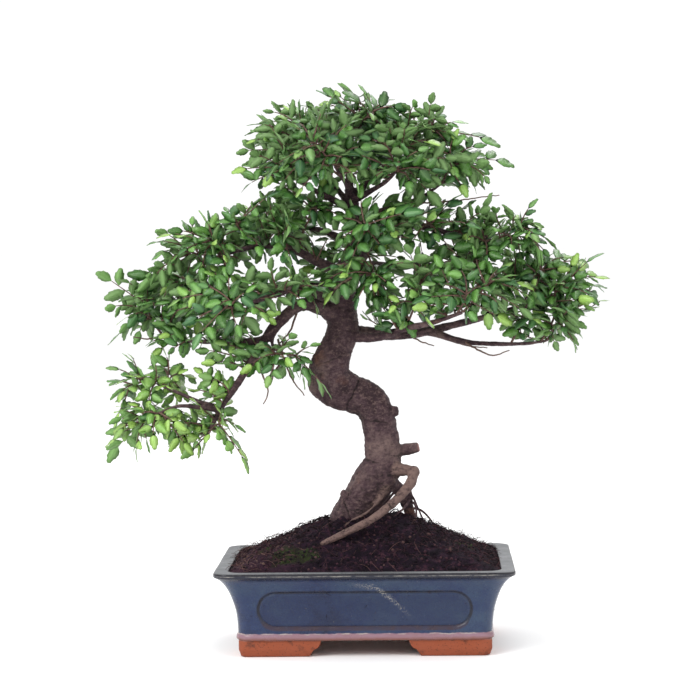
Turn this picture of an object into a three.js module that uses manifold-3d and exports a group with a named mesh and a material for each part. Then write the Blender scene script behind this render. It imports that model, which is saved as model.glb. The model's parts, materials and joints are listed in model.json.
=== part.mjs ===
// Chinese elm bonsai in its glazed pot. Millimetres, +Z up.
// The origin lies on the standing surface, under the middle of the whole object's box.
// The tree and its pot are laid out from the pot's own centre, which stands a little to one side of it.
import * as THREE from 'three';
import { mergeVertices } from 'three/addons/utils/BufferGeometryUtils.js';
import Module from 'manifold-3d';

const wasm = await Module();
wasm.setup();

// Where the pot's centre stands from the origin
const POT_CENTRE = [12, 0, 0];

// The air kept between pieces that touch
const GAP = 0.3;

// How far a finished solid's surface may shift where corners that nearly meet are joined
const CORNERS_MEET = 0.06;

// The pot's driving sizes
const RIM_LENGTH = 250;
const RIM_DEPTH = 190;
const RIM_WIDTH = 12;
const POT_HEIGHT = 72;
const FEET_HEIGHT = 13.5;
const FLOOR_TOP = 22;
const CORNER_RADIUS = 13;
const CORNER_STEPS = 2;
const HALF_LENGTH = RIM_LENGTH / 2;
const DEPTH_LOSS = (RIM_LENGTH - RIM_DEPTH) / 2;

// The pot's outside and inside from the underside up and over the rim: half length and height
const POT_OUTSIDE = [
  [105.6, FEET_HEIGHT],
  [107.4, 15],
  [107.4, 17.8],
  [106, 19.4],
  [107.8, 38],
  [113.2, 55],
  [119, 64],
  [HALF_LENGTH, 68.4],
  [HALF_LENGTH, 71.2],
  [HALF_LENGTH - 0.9, POT_HEIGHT],
];
const POT_INSIDE = [
  [HALF_LENGTH - RIM_WIDTH, POT_HEIGHT],
  [HALF_LENGTH - RIM_WIDTH - 0.8, 70.6],
  [98, FLOOR_TOP],
];

// The oval panel pressed into each wall: half length on the long and the short walls, heights and groove
const PANEL_HALF_LONG = 89;
const PANEL_HALF_SHORT = 55;
const PANEL_BOTTOM = 24;
const PANEL_TOP = 55.5;
const GROOVE_WIDTH = 2.6;
const GROOVE_DEPTH = 1.2;
const PANEL_END_STEPS = 3;

// The four corner feet: outer corner, and the length of both arms at the floor, the step and the pot
const FOOT_OUTER = [105.4, 75.4];
const FOOT_THICKNESS = 15;
const FOOT_BEVEL = 4;
const FOOT_LEVELS = [
  { height: 0, inset: 1.6, arms: [56, 36] },
  { height: 6, inset: 0, arms: [59, 39] },
  { height: 8, inset: 0, arms: [65, 45] },
  { height: FEET_HEIGHT + 1, inset: 0, arms: [68, 48] },
];

// The two drain holes and the squares of mesh over them
const DRAIN_X = 52;
const DRAIN_RADIUS = 8;
const DRAIN_SIDES = 12;
const DRAIN_PAST = 5;
const MESH_SIDE = 30;
const MESH_THICKNESS = 1.2;
const MESH_HOLES = 3;
const MESH_BAR = 1.8;

// The soil: its rings from the wall to the mound's middle, each with its share of the wall's ring, its height and
// how far it has turned from a rectangle into an oval
const MOUND_MIDDLE = [5, 2];
const MOUND_RINGS = [
  [0.985, 70, 0],
  [0.86, 80, 0.25],
  [0.66, 90, 0.55],
  [0.45, 101, 0.85],
  [0.26, 109, 1],
];
const MOUND_TOP = [0.08, 111, 1];
const MOUND_LUMP = 2.2;
const LUMP_DRAW = 3;
const SOIL_WALL_TOP = [111, 68];
const SOIL_STEP = 56;

// The trunk from its buried foot to the fork: route and radius
const TRUNK = [
  [-15, 2, 62, 14],
  [-17, 2, 84, 18],
  [-14, 0, 104, 18],
  [-9, -1, 113, 18.2],
  [-2, -2, 124, 17],
  [6, -3, 137, 17.6],
  [13, -3, 149, 17],
  [14.5, -2, 160, 15.4],
  [14.2, -2, 170, 14.9],
  [13, 0, 182, 14.3],
  [10.8, 2, 195, 14.6],
  [4, 3, 207.5, 15.2],
  [-10, 2, 213.5, 15.6],
  [-24.4, 0, 220.5, 18.2],
  [-29.4, -2, 233, 17],
  [-26.2, -3, 244, 15.3],
  [-21.2, -2, 256, 13.4],
  [-17.8, 0, 267, 13.2],
  [-18, 3, 280, 13.4],
  [-19, 6, 293, 12.8],
  [-17, 8, 305, 12.2],
  [-13, 8, 317, 11.4],
  [-7, 6, 330, 10.6],
  [-2, 3, 342, 9.4],
  [-2, 0, 354, 8.4],
  [-7, -3, 364, 7.6],
  [-9, -4, 374, 6.6],
  [-9, -4, 382, 5.4],
];
const TRUNK_SIDES = 10;
const TRUNK_STEP = 13;

// The trunk's ribs: how many there are, how far they wind over its height, and their share of its radius
const TRUNK_RIBS = [
  { count: 3, wind: 9, share: 0.05 },
  { count: 5, wind: -31, share: 0.03 },
];

// Swellings and old scars of the trunk: middle and half sizes
const SCARS = [
  { middle: [-28, -14, 219], half: [11, 7, 12] },
  { middle: [27, -4, 198], half: [5, 4, 6] },
  { middle: [-18, -13, 124], half: [4, 5, 10] },
];
const SCAR_STEPS = [5, 4];

// Limbs, roots and stubs: radius at both ends, sides, and the route from inside what they grow from
const LIMBS = {
  low_left: {
    from: 6.6,
    to: 1.6,
    sides: 5,
    route: [
      [-20, -2, 279], [-50, -14, 291], [-69, -26, 278], [-83, -34, 261], [-96, -38, 240],
      [-110, -38, 219], [-121, -36, 203], [-132, -32, 182],
    ],
  },
  low_left_a: {
    from: 2.6,
    to: 1.2,
    sides: 4,
    route: [
      [-120, -36, 204], [-137, -38, 210], [-156, -34, 218], [-176, -28, 226],
    ],
  },
  low_left_b: {
    from: 2.4,
    to: 1.2,
    sides: 4,
    route: [
      [-120, -36, 204], [-137, -44, 206], [-154, -50, 208], [-172, -54, 202],
    ],
  },
  left_low_edge: {
    from: 3.2,
    to: 1.3,
    sides: 4,
    route: [
      [-83, -34, 261], [-112, -24, 260], [-140, -12, 260], [-170, -2, 263],
    ],
  },
  left_mid: {
    from: 5.4,
    to: 1.6,
    sides: 5,
    route: [
      [-19, 6, 291], [-48, 18, 300], [-82, 30, 305], [-116, 38, 300], [-148, 40, 294],
    ],
  },
  left_front: {
    from: 4.4,
    to: 1.5,
    sides: 4,
    route: [
      [-18, 4, 306], [-50, -28, 306], [-78, -48, 298], [-108, -58, 290],
    ],
  },
  left_high: {
    from: 4.8,
    to: 1.4,
    sides: 5,
    route: [
      [-14, 7, 316], [-38, 4, 326], [-62, 2, 338], [-91, -8, 340], [-122, -14, 332],
    ],
  },
  left_high_back: {
    from: 4,
    to: 1.4,
    sides: 4,
    route: [
      [-6, 5, 336], [-23, 22, 348], [-46, 36, 355], [-76, 48, 354],
    ],
  },
  right_main: {
    from: 6.2,
    to: 1.7,
    sides: 5,
    route: [
      [-19, 1, 266], [12, 8, 264], [36, 12, 263], [56, 14, 266], [79, 17, 271],
      [105, 21, 277], [134, 26, 286],
    ],
  },
  right_tip: {
    from: 3.2,
    to: 1.2,
    sides: 4,
    route: [
      [56, 14, 266], [84, 2, 257], [112, -6, 255], [140, -4, 255], [156, 0, 257],
    ],
  },
  right_front: {
    from: 4.8,
    to: 1.5,
    sides: 4,
    route: [
      [-20, -1, 264], [10, -18, 262], [36, -34, 270], [61, -46, 276], [84, -54, 284],
    ],
  },
  right_back: {
    from: 4.6,
    to: 1.5,
    sides: 4,
    route: [
      [-10, 8, 322], [18, 34, 322], [49, 50, 322], [84, 58, 321],
    ],
  },
  right_high: {
    from: 4.6,
    to: 1.4,
    sides: 5,
    route: [
      [-2, 3, 343], [20, 4, 354], [44, 2, 356], [72, 0, 350], [104, -2, 342],
    ],
  },
  back: {
    from: 4.2,
    to: 1.6,
    sides: 4,
    route: [
      [-17, 8, 303], [-11, 40, 308], [-8, 62, 312], [-8, 80, 314],
    ],
  },
  crown_left: {
    from: 3.6,
    to: 1.3,
    sides: 4,
    route: [
      [-9, -4, 371], [-28, -12, 381], [-46, -15, 391], [-58, -13, 402],
    ],
  },
  crown_left_back: {
    from: 3.2,
    to: 1.2,
    sides: 4,
    route: [
      [-9, -4, 373], [-22, 18, 389], [-34, 34, 404], [-42, 44, 416],
    ],
  },
  crown_front: {
    from: 3.2,
    to: 1.2,
    sides: 4,
    route: [
      [-9, -4, 379], [-12, -24, 391], [-18, -38, 401], [-22, -46, 408],
    ],
  },
  crown_mid: {
    from: 4,
    to: 1.2,
    sides: 4,
    route: [
      [-9, -4, 378], [-11, 3, 400], [-8, 7, 422], [-8, 9, 438],
    ],
  },
  crown_front_right: {
    from: 3.2,
    to: 1.2,
    sides: 4,
    route: [
      [-9, -4, 377], [8, -20, 386], [22, -34, 394], [30, -42, 402],
    ],
  },
  crown_right: {
    from: 3.8,
    to: 1.3,
    sides: 4,
    route: [
      [-6, -2, 363], [24, 2, 371], [50, 4, 380], [68, 4, 392],
    ],
  },
  crown_back: {
    from: 3.4,
    to: 1.2,
    sides: 4,
    route: [
      [-9, -4, 376], [0, 24, 392], [9, 44, 402], [15, 56, 410],
    ],
  },
  crown_right_top: {
    from: 3.4,
    to: 1.2,
    sides: 4,
    route: [
      [-9, -4, 380], [8, 6, 396], [26, 10, 412], [40, 12, 426],
    ],
  },
  centre_front: {
    from: 3.4,
    to: 1.5,
    sides: 4,
    route: [
      [-6, 5, 331], [0, -12, 340], [6, -26, 345],
    ],
  },
  under_left: {
    from: 2.6,
    to: 1.2,
    sides: 4,
    route: [
      [-69, -26, 277], [-76, -34, 263], [-74, -40, 250],
    ],
  },
  stub: {
    from: 5,
    to: 3.8,
    sides: 5,
    route: [
      [16, 0, 161], [34, -2, 165], [46, -4, 167.5],
    ],
  },
  arching_root: {
    from: 5.4,
    to: 2.6,
    sides: 5,
    route: [
      [18, -6, 146], [32, -14, 148], [38, -20, 145], [36, -27, 136], [26, -34, 126],
      [10, -41, 115], [-6, -46, 107], [-22, -48, 101], [-38, -49, 90],
    ],
  },
  leg_root: {
    from: 5.6,
    to: 4,
    sides: 5,
    route: [
      [16, 1, 143], [27, 6, 132], [34, 9, 120], [38, 10, 108], [40, 10, 84],
    ],
  },
  thin_front_root: {
    from: 1.8,
    to: 1.4,
    sides: 4,
    route: [
      [12, -12, 143], [11, -24, 130], [4, -28, 120], [-2, -29, 110], [-12, -30, 96],
    ],
  },
};
const LIMB_STEP = 34;

// What of the wood stands in the soil and needs its plain hole there
const BURIED = ['arching_root', 'leg_root', 'thin_front_root'];

// Clouds of foliage: the limb that carries each, where its middle is, its half sizes and its number of sprays
const CLOUDS = [
  { name: 'crown_left', limb: 'crown_left', at: [-62, -10, 420], half: [40, 38, 45], sprays: 2 },
  { name: 'crown_left_back', limb: 'crown_left_back', at: [-48, 34, 432], half: [40, 34, 36], sprays: 1 },
  { name: 'crown_front', limb: 'crown_front', at: [-26, -42, 416], half: [42, 32, 40], sprays: 2 },
  { name: 'crown_top', limb: 'crown_mid', at: [-5, 6, 450], half: [46, 40, 25], sprays: 1 },
  { name: 'crown_front_right', limb: 'crown_front_right', at: [32, -40, 412], half: [40, 32, 38], sprays: 2 },
  { name: 'crown_right', limb: 'crown_right', at: [74, 2, 405], half: [36, 38, 30], sprays: 2 },
  { name: 'crown_right_top', limb: 'crown_right_top', at: [48, 10, 434], half: [38, 38, 31], sprays: 1 },
  { name: 'crown_back', limb: 'crown_back', at: [18, 44, 416], half: [42, 30, 38], sprays: 1 },
  { name: 'centre_front', limb: 'centre_front', at: [12, -34, 354], half: [40, 26, 30], sprays: 1 },
  { name: 'trunk_front', limb: 'centre_front', at: [-6, -36, 312], half: [34, 22, 28], sprays: 1 },
  { name: 'left_top', limb: 'left_high', at: [-54, -8, 372], half: [40, 34, 20], sprays: 1 },
  { name: 'left_high', limb: 'left_high', at: [-92, -12, 352], half: [46, 36, 28], sprays: 2 },
  { name: 'left_high_tip', limb: 'left_high', at: [-140, -16, 335], half: [40, 34, 30], sprays: 2 },
  { name: 'left_high_back', limb: 'left_high_back', at: [-78, 38, 350], half: [46, 30, 28], sprays: 1 },
  { name: 'left_near', limb: 'left_front', at: [-62, -38, 304], half: [36, 26, 24], sprays: 1 },
  { name: 'left_front', limb: 'left_front', at: [-112, -48, 296], half: [44, 30, 30], sprays: 2 },
  { name: 'left_mid', limb: 'left_mid', at: [-158, 32, 300], half: [44, 34, 30], sprays: 2 },
  { name: 'left_edge', limb: 'left_low_edge', at: [-179, 0, 288], half: [34, 34, 30], sprays: 1 },
  { name: 'under_left', limb: 'under_left', at: [-68, -42, 245], half: [28, 22, 25], sprays: 1 },
  { name: 'low_left_outer', limb: 'low_left_a', at: [-180, -20, 225], half: [36, 30, 26], sprays: 2 },
  { name: 'low_left_front', limb: 'low_left_b', at: [-177, -46, 191], half: [38, 28, 26], sprays: 1 },
  { name: 'low_left_knob', limb: 'low_left', at: [-134, -34, 188], half: [30, 26, 28], sprays: 1 },
  { name: 'right_high', limb: 'right_high', at: [60, -4, 358], half: [46, 38, 26], sprays: 2 },
  { name: 'right_high_tip', limb: 'right_high', at: [120, -6, 346], half: [44, 34, 28], sprays: 2 },
  { name: 'right_front', limb: 'right_front', at: [88, -44, 300], half: [54, 32, 32], sprays: 2 },
  { name: 'right_near', limb: 'right_front', at: [36, -36, 302], half: [34, 26, 34], sprays: 1 },
  { name: 'right_main', limb: 'right_main', at: [152, 20, 306], half: [44, 34, 32], sprays: 2 },
  { name: 'right_tip', limb: 'right_tip', at: [150, -4, 276], half: [36, 28, 23], sprays: 2 },
  { name: 'right_back', limb: 'right_back', at: [92, 42, 320], half: [52, 28, 30], sprays: 1 },
  { name: 'back', limb: 'back', at: [-12, 46, 324], half: [44, 20, 34], sprays: 1 },
  { name: 'right_edge', limb: 'right_tip', at: [175, 6, 296], half: [30, 28, 28], sprays: 1 },
];

// Where a spray's twig ends: its depth in the cloud, and its highest and lowest place as shares of the height
const TWIG_REACH = 0.5;
const TIP_HIGHEST = 0.92;
const TIP_LOWEST = -0.4;
const GOLDEN_ANGLE = Math.PI * (3 - Math.sqrt(5));

// Where it starts: the places looked at along the limb, and how much a forward lean counts, in millimetres
const START_PLACES = 20;
const FIRST_PLACE = 8;
const FORWARD_LEAN = 22;

// Its half width at both ends, its straight stretches, and its bend as shares of its length
const TWIG_HALF = [1.2, 0.8];
const TWIG_STEPS = 2;
const TWIG_FORWARD = 0.12;
const TWIG_BEND = 0.1;
const TWIG_RISE = 0.5;

// How another place is tried: tries, further turn, wider bend, and the share that must be left of the twig
const TWIG_TRIES = 8;
const TRY_TURN = 0.35;
const TRY_BEND = 0.04;
const TWIG_LEFT = 0.6;

// How its leaves face: out of the cloud from a place near its end, and up
const FACING_PLACE = 0.9;
const FACING_OUT = 0.75;
const FACING_UP = 0.6;

// The shoots at a twig's end: where each starts, its turn about the way it faces, roll, leaves and seed
const SHOOTS = [
  { start: 0.94, turn: 0, roll: 0.45, leaves: 5, draw: 30 },
  { start: 0.8, turn: 1.9, roll: 0.55, leaves: 4, draw: 49 },
];

// How a shoot finds a free place: tries, further roll at each, and the sway of its turn
const SHOOT_TRIES = 16;
const TRY_ROLL = 0.06;
const TURN_SWAY = 0.5;

// A shoot is one thin arched blade: leaves in two ranks, cut down to the rib that carries them
const BLADE_THICKNESS = 0.7;
const RIB_HALF = 0.6;
const NODE_SPACING = 7.4;
const SHOOT_ARCH = 7;

// Its leaves: sizes, the angle from the rib and its sway, and how far a leaf droops and rolls
const LEAF_LENGTH = [20, 25];
const LEAF_HALF_WIDTH = 5.2;
const LEAF_NECK = 0.8;
const LEAF_ANGLE = 1.02;
const SIDE_LEAF_SWAY = 0.07;
const TIP_LEAF_SWAY = 0.12;
const LEAF_DROOP = 5;
const LEAF_ROLL = 2.4;

// One edge of a leaf from its base to its tip: share of the length, and share of the half width
const LEAF_EDGE = [
  [0.36, 1],
  [0.68, 0.78],
];

// A repeatable number from 0 to 1 for a count and a seed
function chance(count, seed) {
  const wave = Math.sin(count * 127.1 + seed * 311.7) * 43758.5453;
  return wave - Math.floor(wave);
}

// A repeatable number from -1 to 1
function sway(count, seed) {
  return chance(count, seed) * 2 - 1;
}

const vector = (triple) => new THREE.Vector3(...triple);
const UP = new THREE.Vector3(0, 0, 1);

// Turns flat lists of corners and faces into a solid
function solidFromLists(corners, faces) {
  const geometry = new THREE.BufferGeometry();
  const places = corners.flatMap((corner) => corner.toArray());
  geometry.setAttribute('position', new THREE.Float32BufferAttribute(places, 3));
  geometry.setIndex(faces.flat());
  return solidFromGeometry(geometry);
}

// Turns a closed three.js geometry into a solid
function solidFromGeometry(source) {
  const geometry = source.clone();
  geometry.deleteAttribute('normal');
  geometry.deleteAttribute('uv');
  const merged = mergeVertices(geometry, 1e-4);
  const mesh = new wasm.Mesh({
    numProp: 3,
    vertProperties: new Float32Array(merged.attributes.position.array),
    triVerts: new Uint32Array(merged.index.array),
  });
  return new wasm.Manifold(mesh);
}

// Joins rings of equal count into a closed solid with flat ends
function loft(rings) {
  const count = rings[0].length;
  const corners = rings.flat();
  const faces = [];
  for (let level = 0; level + 1 < rings.length; level += 1) {
    for (let i = 0; i < count; i += 1) {
      const next = (i + 1) % count;
      const low = level * count;
      const high = low + count;
      faces.push([low + i, low + next, high + next]);
      faces.push([low + i, high + next, high + i]);
    }
  }
  const last = (rings.length - 1) * count;
  for (let i = 1; i + 1 < count; i += 1) {
    faces.push([0, i + 1, i]);
    faces.push([last, last + i, last + i + 1]);
  }
  return solidFromLists(corners, faces);
}

// The outline of a rectangle with round corners, at one height, from the middle of a corner round
function roundedRing(halfX, halfY, radius, height) {
  const corners = [[1, -1], [1, 1], [-1, 1], [-1, -1]];
  const ring = [];
  corners.forEach(([signX, signY], index) => {
    const start = -Math.PI / 2 + index * (Math.PI / 2);
    for (let step = 0; step <= CORNER_STEPS; step += 1) {
      const angle = start + (step / CORNER_STEPS) * (Math.PI / 2);
      const x = signX * (halfX - radius) + radius * Math.cos(angle);
      const y = signY * (halfY - radius) + radius * Math.sin(angle);
      ring.push(new THREE.Vector3(x, y, height));
    }
  });
  const turned = Math.floor(CORNER_STEPS / 2);
  return [...ring.slice(turned), ...ring.slice(0, turned)];
}

const potRing = ([half, height], shrink = 0) => roundedRing(
  half - shrink,
  half - DEPTH_LOSS - shrink,
  CORNER_RADIUS - shrink,
  height,
);

// The two half outlines of an oval panel's groove, pushed through both walls along Y
function grooveThrough(halfLength, depth) {
  const halfHeight = (PANEL_TOP - PANEL_BOTTOM) / 2;
  const outline = (grow) => {
    const points = [];
    for (const side of [1, -1]) {
      for (let step = 0; step <= PANEL_END_STEPS; step += 1) {
        const angle = (side > 0 ? -0.5 : 0.5) * Math.PI + (step / PANEL_END_STEPS) * Math.PI;
        const x = side * (halfLength - halfHeight) + (halfHeight + grow) * Math.cos(angle);
        points.push(new THREE.Vector2(x, (halfHeight + grow) * Math.sin(angle)));
      }
    }
    return points;
  };
  const shape = new THREE.Shape(outline(0));
  shape.holes.push(new THREE.Path(outline(-GROOVE_WIDTH)));
  const ring = new THREE.ExtrudeGeometry(shape, { depth, bevelEnabled: false });
  ring.translate(0, 0, -depth / 2);
  ring.rotateX(Math.PI / 2);
  ring.translate(0, 0, (PANEL_TOP + PANEL_BOTTOM) / 2);
  return ring;
}

// One foot: an L in plan that narrows in a step towards the floor
function makeFoot(signX, signY) {
  const rings = FOOT_LEVELS.map(({ height, inset, arms }) => {
    const [outerX, outerY] = [FOOT_OUTER[0] - inset, FOOT_OUTER[1] - inset];
    const inX = FOOT_OUTER[0] - FOOT_THICKNESS;
    const inY = FOOT_OUTER[1] - FOOT_THICKNESS;
    const endX = FOOT_OUTER[0] - arms[0];
    const endY = FOOT_OUTER[1] - arms[1];
    const plan = [
      [inX, inY],
      [endX, inY],
      [endX, outerY],
      [outerX - FOOT_BEVEL, outerY],
      [outerX, outerY - FOOT_BEVEL],
      [outerX, endY],
      [inX, endY],
    ];
    const [corner, ...others] = plan.map(([x, y]) => new THREE.Vector3(signX * x, signY * y, height));
    return signX * signY > 0 ? [corner, ...others.reverse()] : [corner, ...others];
  });
  return loft(rings);
}

// A vertical drum through the pot's floor, for a drain hole
function drum(x) {
  const height = FLOOR_TOP - FEET_HEIGHT + DRAIN_PAST * 2;
  const geometry = new THREE.CylinderGeometry(DRAIN_RADIUS, DRAIN_RADIUS, height, DRAIN_SIDES);
  geometry.rotateX(Math.PI / 2);
  geometry.translate(x, 0, (FLOOR_TOP + FEET_HEIGHT) / 2);
  return solidFromGeometry(geometry);
}

// A block between two corners
function block(low, high) {
  const size = high.map((value, axis) => value - low[axis]);
  const geometry = new THREE.BoxGeometry(...size);
  geometry.translate(...low.map((value, axis) => value + size[axis] / 2));
  return solidFromGeometry(geometry);
}

// The pot: walls, rim, floor, feet, oval panels and drain holes in one fired piece
function makePot() {
  const rings = [...POT_OUTSIDE, ...POT_INSIDE].map((level) => potRing(level));
  let pot = loft(rings);
  const core = loft(POT_OUTSIDE.map((level) => potRing(level, GROOVE_DEPTH)));
  const longGroove = solidFromGeometry(grooveThrough(PANEL_HALF_LONG, RIM_DEPTH));
  const shortGeometry = grooveThrough(PANEL_HALF_SHORT, RIM_LENGTH);
  shortGeometry.rotateZ(Math.PI / 2);
  pot = pot.subtract(longGroove.subtract(core));
  pot = pot.subtract(solidFromGeometry(shortGeometry).subtract(core));
  for (const signX of [-1, 1]) {
    for (const signY of [-1, 1]) {
      pot = pot.add(makeFoot(signX, signY));
    }
    pot = pot.subtract(drum(signX * DRAIN_X));
  }
  return pot;
}

// A square of plastic mesh that lies on the pot's floor over a drain hole
function makeDrainMesh(x) {
  const low = FLOOR_TOP + GAP;
  const half = MESH_SIDE / 2;
  let mesh = block([x - half, -half, low], [x + half, half, low + MESH_THICKNESS]);
  const pitch = (MESH_SIDE - MESH_BAR) / MESH_HOLES;
  for (let row = 0; row < MESH_HOLES; row += 1) {
    for (let column = 0; column < MESH_HOLES; column += 1) {
      const holeX = x - half + MESH_BAR + column * pitch;
      const holeY = -half + MESH_BAR + row * pitch;
      const side = pitch - MESH_BAR;
      const hole = block([holeX, holeY, low - 1], [holeX + side, holeY + side, low + MESH_THICKNESS + 1]);
      mesh = mesh.subtract(hole);
    }
  }
  return mesh;
}

// A ring of the soil, which has more points along its sides than the pot's wall
function soilRing(level) {
  const ring = [];
  const plain = potRing(level);
  plain.forEach((point, index) => {
    ring.push(point);
    const next = plain[(index + 1) % plain.length];
    const pieces = Math.max(1, Math.round(point.distanceTo(next) / SOIL_STEP));
    for (let piece = 1; piece < pieces; piece += 1) {
      ring.push(point.clone().lerp(next, piece / pieces));
    }
  });
  return ring;
}

// The soil: a lumpy mound from the walls up to the trunk, over the pot's floor
function makeSoil(holes) {
  const [wallHalf, wallHeight] = SOIL_WALL_TOP;
  const wallTop = soilRing([wallHalf - GAP, wallHeight]);
  const [middleX, middleY] = MOUND_MIDDLE;
  const [floorHalf] = POT_INSIDE[POT_INSIDE.length - 1];
  const inward = ([share, height, oval], lift) => wallTop.map((point, index) => {
    const far = Math.hypot(point.x / wallHalf, point.y / (wallHalf - DEPTH_LOSS));
    const kept = share * THREE.MathUtils.lerp(1, 1 / far, oval);
    return new THREE.Vector3(
      middleX * (1 - share) + point.x * kept,
      middleY * (1 - share) + point.y * kept,
      height + lift(index),
    );
  });
  const mound = MOUND_RINGS.map((ring, level) => {
    const lump = level === 0 ? 0 : MOUND_LUMP;
    return inward(ring, (index) => lump * sway(index + level * wallTop.length, LUMP_DRAW));
  });
  const top = inward(MOUND_TOP, () => 0);
  const floor = soilRing([floorHalf - GAP * 2, FLOOR_TOP + GAP]);
  let soil = loft([floor, wallTop, ...mound, top]);
  const half = MESH_SIDE / 2 + GAP;
  const ceiling = FLOOR_TOP + MESH_THICKNESS + GAP * 2;
  for (const x of [-DRAIN_X, DRAIN_X]) {
    soil = soil.subtract(block([x - half, -half, FLOOR_TOP - 1], [x + half, half, ceiling]));
  }
  for (const hole of holes) {
    soil = soil.subtract(hole);
  }
  return soil;
}

// How the trunk's ribs swell its radius
function trunkSwell(angle, t) {
  return TRUNK_RIBS.reduce((swell, { count, wind, share }) => swell + share * Math.sin(angle * count + t * wind), 1);
}

// A limb's rings along a smooth route: each place has a middle, a radius and a direction
function limbRings(route, radii, sides, step, swell = () => 1) {
  const curve = new THREE.CatmullRomCurve3(route, false, 'centripetal');
  const steps = Math.max(2, Math.round(curve.getLength() / step));
  const rings = [];
  let side = new THREE.Vector3(1, 0, 0);
  for (let i = 0; i <= steps; i += 1) {
    const t = i / steps;
    const middle = curve.getPointAt(t);
    const tangent = curve.getTangentAt(t);
    side = side.clone().addScaledVector(tangent, -side.dot(tangent)).normalize();
    const other = tangent.clone().cross(side);
    const radius = radii(t);
    const ring = [];
    for (let k = 0; k < sides; k += 1) {
      const angle = (k / sides) * Math.PI * 2;
      const ridge = radius * swell(angle, t);
      ring.push(middle.clone()
        .addScaledVector(side, ridge * Math.cos(angle))
        .addScaledVector(other, ridge * Math.sin(angle)));
    }
    rings.push(ring);
  }
  return rings;
}

// A route whose two ends reach a little further
function lengthen(points, grow) {
  const reach = (end, before) => end.clone().addScaledVector(end.clone().sub(before).normalize(), grow);
  const last = points.length - 1;
  return [reach(points[0], points[1]), ...points.slice(1, last), reach(points[last], points[last - 1])];
}

// A limb that narrows evenly from one end to the other
function taperedLimb({ route, from, to, sides }, grow = 0) {
  const points = lengthen(route.map(vector), grow);
  return loft(limbRings(points, (t) => THREE.MathUtils.lerp(from, to, t) + grow, sides, LIMB_STEP));
}

// The trunk, whose radius follows its own list
function makeTrunk(grow = 0) {
  const points = lengthen(TRUNK.map(([x, y, z]) => new THREE.Vector3(x, y, z)), grow);
  const curve = new THREE.CatmullRomCurve3(points, false, 'centripetal');
  const last = TRUNK.length - 1;
  const radii = (t) => {
    const place = curve.getUtoTmapping(t) * last;
    const index = Math.min(last - 1, Math.floor(place));
    return THREE.MathUtils.lerp(TRUNK[index][3], TRUNK[index + 1][3], place - index) + grow;
  };
  return loft(limbRings(points, radii, TRUNK_SIDES, TRUNK_STEP, trunkSwell));
}

// A lump on the trunk where it was cut, wired or bruised
function makeScar({ middle, half }, grow = 0) {
  const geometry = new THREE.SphereGeometry(1, ...SCAR_STEPS);
  geometry.scale(...half.map((value) => value + grow));
  geometry.translate(...middle);
  return solidFromGeometry(geometry);
}

// The whole of the wood, which grew as one piece
function makeWood(grow = 0) {
  let wood = makeTrunk(grow);
  for (const scar of SCARS) {
    wood = wood.add(makeScar(scar, grow));
  }
  for (const limb of Object.values(LIMBS)) {
    wood = wood.add(taperedLimb(limb, grow));
  }
  return wood;
}

// A twig's route as straight stretches, and a place and direction on it
function stretches(curve, steps) {
  const points = curve.getSpacedPoints(steps);
  return (t) => {
    const place = THREE.MathUtils.clamp(t, 0, 1) * steps;
    const index = Math.min(steps - 1, Math.floor(place));
    const middle = points[index].clone().lerp(points[index + 1], place - index);
    return { middle, tangent: points[index + 1].clone().sub(points[index]).normalize() };
  };
}

// A bent twig with flat ends: one flat side faces the way its leaves do, and turns no more than its route does
function twigSolid(route, [from, to], steps, facing) {
  const rings = [];
  const face = facing.clone();
  for (let i = 0; i <= steps; i += 1) {
    const { middle } = route(i / steps);
    const tangent = route((i - 0.5) / steps).tangent.add(route((i + 0.5) / steps).tangent).normalize();
    face.addScaledVector(tangent, -face.dot(tangent)).normalize();
    const rank = face.clone().cross(tangent);
    const half = THREE.MathUtils.lerp(from, to, i / steps);
    rings.push([[1, 1], [-1, 1], [-1, -1], [1, -1]].map(([a, b]) => middle.clone()
      .addScaledVector(rank, a * half)
      .addScaledVector(face, b * half)));
  }
  return loft(rings);
}

// The outline of one leaf in its shoot's plane, from the edge nearer the shoot's base round to the other
function leafOutline(node, rank, seed) {
  const length = THREE.MathUtils.lerp(...LEAF_LENGTH, chance(node, seed));
  const turned = sway(node, seed + 1);
  const angle = rank === 0 ? TIP_LEAF_SWAY * turned : LEAF_ANGLE + SIDE_LEAF_SWAY * turned;
  const along = [Math.cos(angle), (rank || 1) * Math.sin(angle)];
  const lower = [-Math.sin(angle), (rank || 1) * Math.cos(angle)];
  const droop = LEAF_DROOP * chance(node, seed + 2);
  const roll = LEAF_ROLL * sway(node, seed + 3);
  const base = [node * NODE_SPACING, rank * RIB_HALF];
  const place = (share, width) => [
    base[0] + along[0] * share * length + lower[0] * width * LEAF_HALF_WIDTH,
    base[1] + along[1] * share * length + lower[1] * width * LEAF_HALF_WIDTH,
    roll * width - droop * share * share,
  ];
  const points = [
    ...LEAF_EDGE.map(([share, width]) => place(share, width)),
    place(1, 0),
    ...[...LEAF_EDGE].reverse().map(([share, width]) => place(share, -width)),
  ];
  if (rank !== 0) {
    points.unshift([base[0] - LEAF_NECK, base[1], 0]);
    points.push([base[0] + LEAF_NECK, base[1], 0]);
  }
  return points;
}

// The outline of a whole shoot: up one side of its rib, round the last leaf and down the other side
function shootOutline(leaves, seed) {
  const right = [];
  const left = [];
  for (let node = 1; node < leaves; node += 1) {
    if (node % 2 === 1) {
      right.push(...leafOutline(node, -1, seed));
    } else {
      left.unshift(...leafOutline(node, 1, seed).reverse());
    }
  }
  const last = leafOutline(leaves, 0, seed).reverse();
  return [[0, -RIB_HALF, 0], ...right, ...last, ...left, [0, RIB_HALF, 0]];
}

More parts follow.
